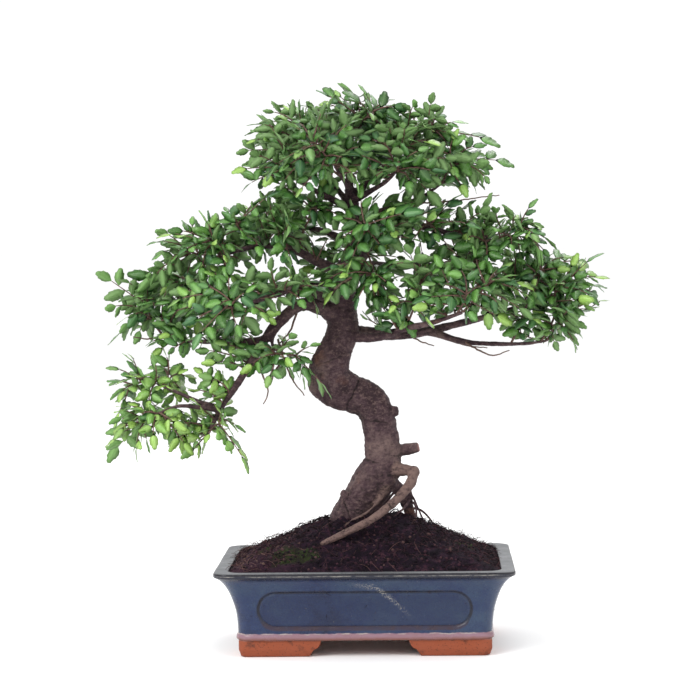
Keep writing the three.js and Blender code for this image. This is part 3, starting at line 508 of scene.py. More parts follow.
class NodeSheet:
    """Adds and joins the nodes of a shader or geometry tree."""

    def __init__(self, tree: NodeTree) -> None:
        """Works on this tree."""
        self.tree = tree

    def add(self, kind: str, values: dict[Any, Any] | None = None, **options: Any) -> bpy.types.Node:
        """Adds a node.

        Args:
            kind: Blender's name of the node.
            values: A number, colour or socket for each input, by name or place.
            options: The node's own settings.

        Returns:
            The node.
        """
        node = self.tree.nodes.new(kind)
        for key, value in options.items():
            setattr(node, key, value)
        self.give(node, values or {})
        return node

    def give(self, node: bpy.types.Node, values: dict[Any, Any]) -> None:
        """Links or sets a node's inputs; a colour of three numbers is opaque.

        Args:
            node: The node.
            values: A number, colour or socket for each input, by name or place.
        """
        for key, value in values.items():
            socket = node.inputs[key]
            if isinstance(value, Socket):
                self.tree.links.new(value, socket)
            else:
                socket.default_value = (*value, 1.0) if socket.type == "RGBA" else value

    def math(self, operation: str, a: Any, b: Any = 0.0) -> Socket:
        """Adds a sum of one or two values, by Blender's name of the operation."""
        return self.add("ShaderNodeMath", {0: a, 1: b}, operation=operation).outputs[0]

    def times(self, a: Any, b: Any) -> Socket:
        """Multiplies two values."""
        return self.math("MULTIPLY", a, b)

    def plus(self, a: Any, b: Any) -> Socket:
        """Adds two values."""
        return self.math("ADD", a, b)

    def less(self, a: Any, b: Any) -> Socket:
        """Takes the second value from the first."""
        return self.math("SUBTRACT", a, b)

    def apart(self, a: Any, b: Any) -> Socket:
        """Gives how far two values lie apart."""
        return self.math("ABSOLUTE", self.less(a, b))

    def waver(self, place: Any, scale: float, reach: float) -> Socket:
        """Adds noise about zero, which makes an edge uneven."""
        return self.times(self.less(self.grain(place, scale), 0.5), reach)

    def blend(self, share: Any, a: Any, b: Any, blend_type: str = "MIX") -> Socket:
        """Adds a mix of two colours."""
        values = {0: share, 6: a, 7: b}
        return self.add("ShaderNodeMix", values, data_type="RGBA", blend_type=blend_type).outputs[2]

    def remap(self, value: Any, low: float, high: float, start: float = 0.0, end: float = 1.0) -> Socket:
        """Turns the range low to high into start to end, and holds it there."""
        values = {"Value": value, "From Min": low, "From Max": high, "To Min": start, "To Max": end}
        return self.add("ShaderNodeMapRange", values).outputs["Result"]

    def grain(self, place: Any, scale: float, detail: float = 3.0, rough: float = 0.55) -> Socket:
        """Adds noise of about 0 to 1."""
        values = {"Vector": place, "Scale": scale, "Detail": detail, "Roughness": rough}
        return self.add("ShaderNodeTexNoise", values).outputs[0]

    def ramp(self, value: Any, stops: Sequence[tuple[float, Spot]]) -> Socket:
        """Turns a value into a colour through stops of place and colour."""
        node = self.add("ShaderNodeValToRGB", {0: value})
        elements = node.color_ramp.elements
        while len(elements) < len(stops):
            elements.new(0.5)
        for element, (place, colour) in zip(elements, stops):
            element.position = place
            element.color = (*colour, 1.0)
        return node.outputs[0]

    def attribute(self, name: str) -> Socket:
        """Reads what mark stored under a name."""
        return self.add("ShaderNodeAttribute", attribute_name=name).outputs["Fac"]

    def set_inputs(self, sockets: Sequence[tuple[str, str, Any]]) -> None:
        """Gives the tree its named inputs: name, kind of socket and default."""
        for name, kind, value in sockets:
            socket = self._end(name, kind, "INPUT")
            if value is not None:
                socket.default_value = value

    def set_outputs(self, sockets: Sequence[tuple[str, str]]) -> None:
        """Gives the tree its named outputs: name and kind of socket."""
        for name, kind in sockets:
            self._end(name, kind, "OUTPUT")

    def _end(self, name: str, kind: str, side: str) -> bpy.types.NodeTreeInterfaceSocket:
        """Makes one named input or output of the tree."""
        return self.tree.interface.new_socket(name=name, in_out=side, socket_type=f"NodeSocket{kind}")

    def parts(self, vector: Socket) -> Any:
        """Gives a vector's three parts."""
        return self.add("ShaderNodeSeparateXYZ", {0: vector}).outputs


class Effects:
    """Shader groups that more than one material uses."""

    def __init__(self) -> None:
        """Builds each group once."""
        self.fine_bumps = self._fine_bumps()
        self.specks = self._specks()

    @staticmethod
    def _start(name: str) -> tuple[NodeSheet, bpy.types.Node, bpy.types.Node]:
        """Makes an empty group with its two ends."""
        sheet = NodeSheet(bpy.data.node_groups.new(name, "ShaderNodeTree"))
        return sheet, sheet.add("NodeGroupInput"), sheet.add("NodeGroupOutput")

    def _fine_bumps(self) -> NodeTree:
        """Builds a height of wide and fine bumps."""
        sheet, start, end = self._start("fine_bumps")
        sheet.set_inputs([
            ("Place", "Vector", None), ("Wide Scale", "Float", 100.0),
            ("Fine Scale", "Float", 600.0), ("Fine Share", "Float", 0.5),
        ])
        sheet.set_outputs([("Height", "Float")])
        wide = sheet.grain(start.outputs[0], 1.0)
        sheet.tree.links.new(start.outputs[1], wide.node.inputs["Scale"])
        fine = sheet.grain(start.outputs[0], 1.0)
        sheet.tree.links.new(start.outputs[2], fine.node.inputs["Scale"])
        values = {0: start.outputs[3], 2: wide, 3: fine}
        both = sheet.add("ShaderNodeMix", values, data_type="FLOAT").outputs[0]
        sheet.tree.links.new(both, end.inputs[0])
        return sheet.tree

    def _specks(self) -> NodeTree:
        """Builds a mask of small round specks."""
        sheet, start, end = self._start("specks")
        sheet.set_inputs([
            ("Place", "Vector", None), ("Scale", "Float", 400.0),
            ("Size", "Float", 0.3),
        ])
        sheet.set_outputs([("Mask", "Float")])
        cells = sheet.add("ShaderNodeTexVoronoi", {"Vector": start.outputs[0], "Scale": start.outputs[1]})
        near = sheet.less(start.outputs[2], cells.outputs["Distance"])
        sheet.tree.links.new(sheet.remap(near, 0.0, 0.12), end.inputs[0])
        return sheet.tree


class Paint:
    """A material under way: its node sheet, its surface and its place on the piece."""

    def __init__(self, name: str, effects: Effects) -> None:
        """Starts a material of this name."""
        self.material = bpy.data.materials.new(name)
        self.material.use_nodes = True
        tree = self.material.node_tree
        tree.nodes.clear()
        self.sheet = NodeSheet(tree)
        self.effects = effects
        self.surface = self.sheet.add("ShaderNodeBsdfPrincipled")
        end = self.sheet.add("ShaderNodeOutputMaterial")
        tree.links.new(self.surface.outputs[0], end.inputs["Surface"])
        self.place = self.sheet.add("ShaderNodeTexCoord").outputs["Object"]

    def feed(self, **sockets: Any) -> None:
        """Sets or links the surface's inputs; an underscore in a name stands for a space."""
        self.sheet.give(self.surface, {key.replace("_", " "): value for key, value in sockets.items()})

    def stretched(self, scale: Spot, turn: Spot = (0, 0, 0)) -> Socket:
        """Gives the place with each axis scaled and turned."""
        values = {"Vector": self.place, "Scale": scale, "Rotation": turn}
        return self.sheet.add("ShaderNodeMapping", values).outputs[0]

    def axis(self, name: str) -> Socket:
        """Gives the place along X, Y or Z, in metres."""
        return self.sheet.parts(self.place)[name]

    def specks(self, scale: float, size: float) -> Socket:
        """Gives a mask of small round specks."""
        values = {"Place": self.place, "Scale": scale, "Size": size}
        return self._group(self.effects.specks, values)

    def left_end(self, most: float) -> Socket:
        """Gives a mask that grows towards the left end of the pot, where the peat is painted lighter and
        redder.
        """
        return self.sheet.remap(self.axis("X"), -0.088, -0.03, most, 0.0)

    def bump(self, wide: float, fine: float, share: float, depth: float, strength: float = 1.0) -> None:
        """Gives the surface wide and fine bumps."""
        values = {"Place": self.place, "Wide Scale": wide, "Fine Scale": fine, "Fine Share": share}
        self.relief(self._group(self.effects.fine_bumps, values), depth, strength)

    def relief(self, height: Socket, depth: float, strength: float = 1.0) -> None:
        """Gives the surface bumps from a height of 0 to 1 and a depth in metres."""
        values = {"Height": height, "Distance": depth, "Strength": strength}
        self.feed(Normal=self.sheet.add("ShaderNodeBump", values).outputs[0])

    def _group(self, tree: NodeTree, values: dict[str, Any]) -> Socket:
        """Places a shared group and gives its first output."""
        return self.sheet.add("ShaderNodeGroup", values, node_tree=tree).outputs[0]


@dataclass(frozen=True)
class Finish:
    """What all finishes share: the material's name and the way that it is built."""

    name: str

    def build(self, effects: Effects) -> Material:
        """Builds the material.

        Args:
            effects: The shader groups that materials share.

        Returns:
            The finished material.
        """
        paint = Paint(self.name, effects)
        self.dress(paint, paint.sheet)
        return paint.material

    def dress(self, paint: Paint, sheet: NodeSheet) -> None:
        """Gives the material its colours, gloss and relief; each finish has its own way."""


@dataclass(frozen=True)
class LeafFinish(Finish):
    """Glossy leaves that go from deep to yellow green, with paler backs and fine veins."""

    name: str = "leaf_green"
    deep: Spot = (0.024, 0.07, 0.02)
    middle: Spot = (0.052, 0.158, 0.025)
    light: Spot = (0.155, 0.36, 0.07)
    young: Spot = (0.32, 0.53, 0.11)
    cool: Spot = (0.035, 0.135, 0.07)
    back: Spot = (0.14, 0.24, 0.085)
    vein: Spot = (0.16, 0.28, 0.07)
    draw_step: float = 53.7

    def dress(self, paint: Paint, sheet: NodeSheet) -> None:
        """Paints the blades with their ribs and veins, and the paler backs."""
        tone = sheet.attribute("tone")
        blotch = sheet.times(sheet.grain(paint.place, 90), 0.22)
        mottled = sheet.less(sheet.plus(tone, blotch), 0.11)
        green = sheet.ramp(mottled, [(0.0, self.deep), (0.45, self.middle), (0.8, self.light),
                                     (1.0, self.young)])
        draw = sheet.math("FRACT", sheet.times(tone, self.draw_step))
        green = sheet.blend(sheet.remap(draw, 0.55, 1.0, 0.0, 0.6), green, self.cool)
        across, along, _ = sheet.parts(sheet.add("ShaderNodeUVMap", uv_map="blade").outputs[0])
        under = sheet.math("GREATER_THAN", across, 1.5)
        side = sheet.less(across, sheet.times(under, 2.0))
        away = sheet.apart(side, 0.5)
        rib = sheet.remap(away, 0.0, 0.05, 1.0, 0.0)
        slant = sheet.less(along, sheet.times(away, 0.55))
        wave = sheet.math("SINE", sheet.times(slant, 62.0))
        veins = sheet.remap(wave, 0.6, 1.0, 0.0, 0.6)
        lines = sheet.math("MAXIMUM", rib, veins)
        top = sheet.blend(sheet.times(lines, 0.45), green, self.vein)
        back = sheet.blend(sheet.times(tone, 0.5), self.back, self.light)
        paint.feed(Base_Color=sheet.blend(under, top, back))
        dull = sheet.plus(sheet.times(draw, 0.3), sheet.grain(paint.place, 300))
        paint.feed(Roughness=sheet.remap(sheet.plus(under, dull), 0.3, 1.6, 0.2, 0.6))
        paint.feed(Specular_IOR_Level=0.6)
        paint.relief(sheet.less(1.0, lines), 0.0003, 0.6)


@dataclass(frozen=True)
class TwigFinish(Finish):
    """Thin red-brown young wood."""

    name: str = "young_twig"
    dark: Spot = (0.055, 0.026, 0.02)
    light: Spot = (0.19, 0.105, 0.075)

    def dress(self, paint: Paint, sheet: NodeSheet) -> None:
        """Paints the young wood."""
        shade = sheet.grain(paint.place, 220)
        colour = sheet.ramp(shade, [(0.3, self.dark), (0.75, self.light)])
        paint.feed(Base_Color=colour, Roughness=sheet.remap(shade, 0.2, 0.8, 0.55, 0.8))
        paint.bump(500, 1600, 0.5, 0.0003)


@dataclass(frozen=True)
class BarkFinish(Finish):
    """Grey-brown bark with pale flecks, warm patches and fine dark cracks, paler on the roots, with painted
    shade in its hollows.
    """

    name: str = "elm_bark"
    dark: Spot = (0.024, 0.0115, 0.0145)
    middle: Spot = (0.058, 0.031, 0.038)
    pale: Spot = (0.17, 0.112, 0.1)
    warm: Spot = (0.15, 0.06, 0.03)
    root: Spot = (0.175, 0.112, 0.096)
    # Near black of the fine cracks, also used for the painted shade in the hollows.
    crack_and_shade: Spot = (0.01, 0.006, 0.006)

    def dress(self, paint: Paint, sheet: NodeSheet) -> None:
        """Paints the bark with its flecks, patches, roots and cracks, and paints shade into its hollows."""
        wide = sheet.grain(paint.place, 34, 5.0, 0.62)
        body = sheet.ramp(wide, [(0.34, self.dark), (0.5, self.middle), (0.82, self.pale)])
        fleck = sheet.grain(paint.stretched((260, 260, 330)), 1.0, 6.0, 0.8)
        body = sheet.blend(sheet.remap(fleck, 0.5, 0.64, 0.0, 0.7), body, self.pale)
        patch = sheet.remap(sheet.grain(paint.place, 24, 4.0, 0.6), 0.6, 0.74, 0.0, 0.7)
        body = sheet.blend(patch, body, self.warm)
        rooty = sheet.times(sheet.attribute("root"),
                           sheet.remap(fleck, 0.3, 0.6, 0.45, 0.95))
        body = sheet.blend(rooty, body, self.root)
        body = sheet.blend(sheet.remap(fleck, 0.36, 0.48, 0.8, 0.0), body, self.dark)
        cracks = self._cracks(paint)
        body = sheet.blend(sheet.times(cracks, 0.85), body, self.crack_and_shade)
        # Darkens the hollows of the skin towards near black as painted shade, and the old scar, which is
        # dark itself.
        cavity = sheet.attribute("cavity")
        body = sheet.blend(sheet.remap(cavity, 0.1, 0.8, 0.0, 0.9), body, self.crack_and_shade)
        paint.feed(Base_Color=body, Roughness=sheet.remap(wide, 0.3, 0.7, 0.9, 0.66))
        paint.feed(Specular_IOR_Level=0.3)
        height = sheet.less(sheet.times(fleck, 0.8), sheet.times(cracks, 0.35))
        paint.relief(height, 0.0022, 0.9)

    @staticmethod
    def _cracks(paint: Paint) -> Socket:
        """Gives a mask of fine broken cracks that run round the wood."""
        sheet = paint.sheet
        course = sheet.grain(paint.stretched((24, 24, 62)), 1.0, 5.0, 0.62)
        off = sheet.apart(course, 0.5)
        broken = sheet.remap(sheet.grain(paint.place, 42, 3.0), 0.5, 0.6)
        return sheet.times(sheet.remap(off, 0.002, 0.013, 1.0, 0.0), broken)


@dataclass(frozen=True)
class CutFinish(Finish):
    """The pinkish wood of a cut end."""

    name: str = "cut_wood"
    pith: Spot = (0.24, 0.115, 0.1)
    ring: Spot = (0.13, 0.062, 0.058)

    def dress(self, paint: Paint, sheet: NodeSheet) -> None:
        """Paints the rings."""
        rings = sheet.grain(paint.place, 900)
        paint.feed(Base_Color=sheet.ramp(rings, [(0.35, self.ring), (0.65, self.pith)]), Roughness=0.8)
        paint.bump(700, 2000, 0.5, 0.0003)


@dataclass(frozen=True)
class GlazeFinish(Finish):
    """Dark blue glaze with painted shade under the rim's lip, painted highlight lines along the rim and the
    bead and a painted reflection on the rim's flat top, over a lilac bead and bare red clay feet.
    """

    name: str = "blue_glaze"
    navy: Spot = (0.006, 0.01, 0.036)
    denim: Spot = (0.014, 0.027, 0.08)
    teal: Spot = (0.028, 0.05, 0.094)
    plum: Spot = (0.04, 0.02, 0.026)
    # Near black: the painted shade in the grooves and under the lip, and the dark line on the rim's edge.
    edge: Spot = (0.012, 0.011, 0.016)
    # Pale speck colour of the glaze, also the painted reflection on the rim's flat top.
    grey_and_sheen: Spot = (0.11, 0.115, 0.125)
    # Pale colour of the hard-water lime, also used for the painted highlight lines on the rim and the bead.
    lime_and_highlight: Spot = (0.45, 0.42, 0.36)
    lilac: Spot = (0.245, 0.146, 0.185)
    rust: Spot = (0.19, 0.075, 0.06)
    clay: Spot = (0.255, 0.06, 0.0245)
    clay_dark: Spot = (0.045, 0.016, 0.01)

    def dress(self, paint: Paint, sheet: NodeSheet) -> None:
        """Paints the glaze from the walls to the rim, then the bead and the clay."""
        height = paint.axis("Z")
        colour = self._body(paint, height)
        colour = self._panel(paint, colour, height)
        colour = self._rim(paint, colour, height)
        colour = self._lime(paint, colour, height)
        ragged = sheet.waver(paint.place, 130, 0.0024)
        level = sheet.plus(height, ragged)
        colour = sheet.blend(sheet.remap(level, 0.0192, 0.0198), self._bead(paint, level), colour)
        glazed = sheet.remap(level, 0.0131, 0.0139)
        paint.feed(Base_Color=sheet.blend(glazed, self._clay(paint), colour))
        haze = sheet.remap(sheet.grain(paint.place, 60, 4.0), 0.35, 0.7, 0.16, 0.34)
        bare = sheet.remap(glazed, 0.0, 1.0, 0.55, 0.0)
        worn = sheet.times(self._flat(paint, height), 0.25)
        paint.feed(Roughness=sheet.plus(sheet.plus(haze, bare), worn), Specular_IOR_Level=0.36)
        paint.bump(110, 800, 0.35, 0.0009, 0.5)

    def _body(self, paint: Paint, height: Socket) -> Socket:
        """Gives the blue of the walls, with wide soft tones, fine speckles and a paler band at the top."""
        sheet = paint.sheet
        wide = sheet.grain(paint.place, 13, 3.0, 0.5)
        mottle = sheet.grain(paint.place, 75, 6.0, 0.72)
        tone = sheet.plus(sheet.times(wide, 0.5), sheet.times(mottle, 0.5))
        tone = sheet.plus(tone, sheet.remap(height, 0.05, 0.062, 0.0, 0.045))
        blue = sheet.ramp(tone, [(0.36, self.navy), (0.5, self.denim), (0.68, self.teal)])
        blue = sheet.blend(sheet.times(paint.specks(620, 0.32), 0.55), blue, self.teal)
        blue = sheet.blend(sheet.times(paint.specks(330, 0.12), 0.5), blue, self.grey_and_sheen)
        return sheet.blend(sheet.times(paint.specks(800, 0.3), 0.7), blue, self.navy)

    def _panel(self, paint: Paint, colour: Socket, height: Socket) -> Socket:
        """Darkens the panels a little, and paints shade into their grooves: near black along the top, plum
        along the bottom.
        """
        sheet = paint.sheet
        edge = sheet.attribute("panel")
        colour = sheet.blend(sheet.remap(edge, -3.4, -2.2, 0.38, 0.0), colour, self.navy)
        # Painted shade in the grooves: near black along the panels' tops, plum along their bottoms, where
        # the line runs a little out below the groove.
        upper = sheet.remap(height, 0.025, 0.031)
        groove_shade = sheet.blend(upper, self.plum, self.edge)
        outer = sheet.times(sheet.less(1.0, upper), 1.6)
        past = sheet.less(edge, outer)
        line = sheet.times(sheet.remap(past, 0.2, 1.0, 1.0, 0.0), sheet.remap(edge, -2.3, -1.5))
        broken = sheet.remap(sheet.grain(paint.place, 120, 4.0), 0.3, 0.6, 0.45, 0.85)
        return sheet.blend(sheet.times(line, broken), colour, groove_shade)

    @staticmethod
    def _flat(paint: Paint, height: Socket) -> Socket:
        """Gives a mask of the rim's flat top."""
        sheet = paint.sheet
        facing = sheet.parts(sheet.add("ShaderNodeNewGeometry").outputs["Normal"])
        level = sheet.remap(facing[2], 0.9, 0.985)
        return sheet.times(level, sheet.remap(height, 0.0708, 0.0716))

    def _rim(self, paint: Paint, colour: Socket, height: Socket) -> Socket:
        """Darkens the wall under the lip as painted shade, adds a broken pale line on the rim's edge as a
        painted highlight with a dark line above it, and paints the flat top light as a painted reflection.
        """
        sheet = paint.sheet
        wave = sheet.waver(paint.place, 120, 0.0014)
        level = sheet.plus(height, wave)
        # Painted shade: the wall under the lip darkens towards near black, where the lip overhangs.
        band = sheet.remap(level, 0.0643, 0.0678, 0.0, 0.85)
        colour = sheet.blend(band, colour, self.edge)
        # Painted highlight: a thin broken pale line just under the rim's top.
        off = sheet.apart(level, 0.0698)
        broken = sheet.remap(sheet.grain(paint.stretched((85, 85, 60)), 1.0, 6.0, 0.75), 0.42, 0.62)
        highlight_line = sheet.times(sheet.remap(off, 0.0002, 0.0006, 0.42, 0.0), broken)
        colour = sheet.blend(highlight_line, colour, self.lime_and_highlight)
        colour = sheet.blend(sheet.remap(level, 0.0702, 0.0708), colour, self.edge)
        # Painted reflection: the rim's flat top, seen edge-on, is painted light for the sheen of the glossy
        # glaze.
        return sheet.blend(self._flat(paint, height), colour, self.grey_and_sheen)

    def _lime(self, paint: Paint, colour: Socket, height: Socket) -> Socket:
        """Adds the whitish streak and spots that hard water left on the front."""
        sheet = paint.sheet
        across = paint.axis("X")
        level = sheet.less(0.0622, sheet.times(across, 0.12))
        steep = sheet.less(0.0776, sheet.times(across, 0.88))
        line = sheet.math("MINIMUM", level, steep)
        wobble = sheet.waver(paint.place, 55, 0.008)
        off = sheet.apart(sheet.plus(height, wobble), line)
        streak = sheet.remap(off, 0.0005, 0.0036, 1.0, 0.0)
        streak = sheet.times(streak, sheet.remap(across, 0.0, 0.024, 0.15, 1.0))
        streak = sheet.times(streak, sheet.remap(across, 0.034, 0.052, 1.0, 0.0))
        broken = sheet.remap(sheet.grain(paint.place, 760, 4.0, 0.65), 0.48, 0.62)
        started = sheet.math("GREATER_THAN", across, 0.0)
        front = sheet.times(started, sheet.remap(paint.axis("Y"), -0.07, -0.065, 1.0, 0.0))
        streak = sheet.times(sheet.times(streak, broken), front)
        spots = sheet.times(sheet.times(paint.specks(190, 0.1), broken), 0.7)
        return sheet.blend(sheet.times(sheet.math("MAXIMUM", streak, spots), 0.62), colour,
                           self.lime_and_highlight)

    def _bead(self, paint: Paint, level: Socket) -> Socket:
        """Gives the lilac bead, rusty where it meets the clay, with a thin pale line on top that is a
        painted highlight.
        """
        sheet = paint.sheet
        shade = sheet.grain(paint.place, 70, 4.0, 0.6)
        low = sheet.less(level, sheet.times(shade, 0.003))
        bead = sheet.blend(sheet.remap(low, 0.0128, 0.0155), self.rust, self.lilac)
        bead = sheet.blend(sheet.remap(shade, 0.35, 0.7, 0.3, 0.0), bead, self.rust)
        # Painted highlight: a thin broken pale line along the bead's top.
        off = sheet.apart(level, 0.0191)
        broken = sheet.remap(sheet.grain(paint.stretched((90, 90, 20)), 1.0, 4.0, 0.6), 0.45, 0.62)
        highlight_line = sheet.times(sheet.remap(off, 0.0002, 0.0006, 0.6, 0.0), broken)
        return sheet.blend(highlight_line, bead, self.lime_and_highlight)

    def _clay(self, paint: Paint) -> Socket:
        """Gives the bare clay of the feet, with small brown specks and short cracks."""
        sheet = paint.sheet
        wide = sheet.grain(paint.place, 90, 5.0, 0.65)
        clay = sheet.ramp(wide, [(0.28, self.clay_dark), (0.44, self.clay)])
        clay = sheet.blend(sheet.times(paint.specks(430, 0.22), 0.8), clay, self.clay_dark)
        clay = sheet.blend(sheet.times(paint.specks(900, 0.24), 0.5), clay, self.clay_dark)
        cracks = sheet.remap(sheet.grain(paint.stretched((60, 60, 210)), 1.0, 5.0, 0.7), 0.64, 0.7)
        return sheet.blend(sheet.times(cracks, 0.8), clay, self.clay_dark)


@dataclass(frozen=True)
class SoilFinish(Finish):
    """Dark moist peat with reddish crumbs and green moss."""

    name: str = "moist_peat"
    dark: Spot = (0.004, 0.002, 0.005)
    brown: Spot = (0.018, 0.008, 0.0175)
    red: Spot = (0.055, 0.02, 0.033)
    moss: Spot = (0.02, 0.028, 0.008)

    def dress(self, paint: Paint, sheet: NodeSheet) -> None:
        """Paints the peat and its moss."""
        wide = sheet.grain(paint.place, 105, 7.0, 0.75)
        body = sheet.ramp(wide, [(0.4, self.dark), (0.54, self.brown), (0.68, self.red)])
        fine = sheet.grain(paint.place, 900, 3.0)
        body = sheet.blend(sheet.remap(fine, 0.4, 0.65, 0.0, 0.6), body, self.dark)
        body = sheet.blend(paint.left_end(0.4), body, self.red)
        green = sheet.times(sheet.attribute("moss"),
                           sheet.remap(sheet.grain(paint.place, 240, 3.0), 0.35, 0.6, 0.3, 1.0))
        paint.feed(Base_Color=sheet.blend(green, body, self.moss), Roughness=0.92,
                   Specular_IOR_Level=0.15)
        paint.bump(420, 1500, 0.5, 0.0015)


@dataclass(frozen=True)
class CrumbFinish(Finish):
    """Loose crumbs, husks or fibres on the soil."""

    name: str = "peat_crumbs"
    dark: Spot = (0.006, 0.003, 0.006)
    red: Spot = (0.05, 0.02, 0.03)
    straw: Spot = (0.1, 0.06, 0.05)

    def dress(self, paint: Paint, sheet: NodeSheet) -> None:
        """Paints each crumb in its own tone."""
        tone = sheet.attribute("tone")
        speckled = sheet.plus(sheet.times(tone, 0.88),
                              sheet.times(sheet.grain(paint.place, 700), 0.14))
        speckled = sheet.plus(speckled, paint.left_end(0.16))
        colour = sheet.ramp(speckled, [(0.45, self.dark), (0.86, self.red), (1.0, self.straw)])
        paint.feed(Base_Color=colour, Roughness=0.9, Specular_IOR_Level=0.2)
        paint.bump(700, 2200, 0.5, 0.0005)


@dataclass(frozen=True)
class MossFinish(Finish):
    """Low bright moss."""

    name: str = "moss_green"
    deep: Spot = (0.01, 0.017, 0.004)
    bright: Spot = (0.037, 0.062, 0.014)

    def dress(self, paint: Paint, sheet: NodeSheet) -> None:
        """Paints each tuft in its own tone."""
        tone = sheet.attribute("tone")
        speckled = sheet.plus(tone, sheet.times(sheet.grain(paint.place, 500), 0.3))
        paint.feed(Base_Color=sheet.ramp(speckled, [(0.2, self.deep), (1.0, self.bright)]), Roughness=0.85)
        paint.bump(900, 2500, 0.5, 0.0003)


@dataclass(frozen=True)
class PlasticFinish(Finish):
    """Dark green moulded plastic with a little dust."""

    name: str = "drain_plastic"
    green: Spot = (0.02, 0.06, 0.035)
    dust: Spot = (0.12, 0.1, 0.08)

    def dress(self, paint: Paint, sheet: NodeSheet) -> None:
        """Paints the plastic with its dust."""
        dust = sheet.remap(sheet.grain(paint.place, 180, 4.0), 0.45, 0.75, 0.0, 0.7)
        paint.feed(Base_Color=sheet.blend(dust, self.green, self.dust))
        paint.feed(Roughness=sheet.remap(dust, 0.0, 0.7, 0.4, 0.8))
        paint.bump(300, 1200, 0.5, 0.0003)


@dataclass(frozen=True)
class FloorFinish(Finish):
    """A plain pale table."""

    name: str = "pale_floor"
    pale: Spot = (0.97, 0.97, 0.97)

    def dress(self, paint: Paint, sheet: NodeSheet) -> None:
        """Paints it evenly."""
        paint.feed(Base_Color=self.pale, Roughness=0.7, Specular_IOR_Level=0.2)


class Wall(Enum):
    """The two pairs of walls of the pot, each with its panel's half length."""

    LONG = 89.0
    SHORT = 55.0


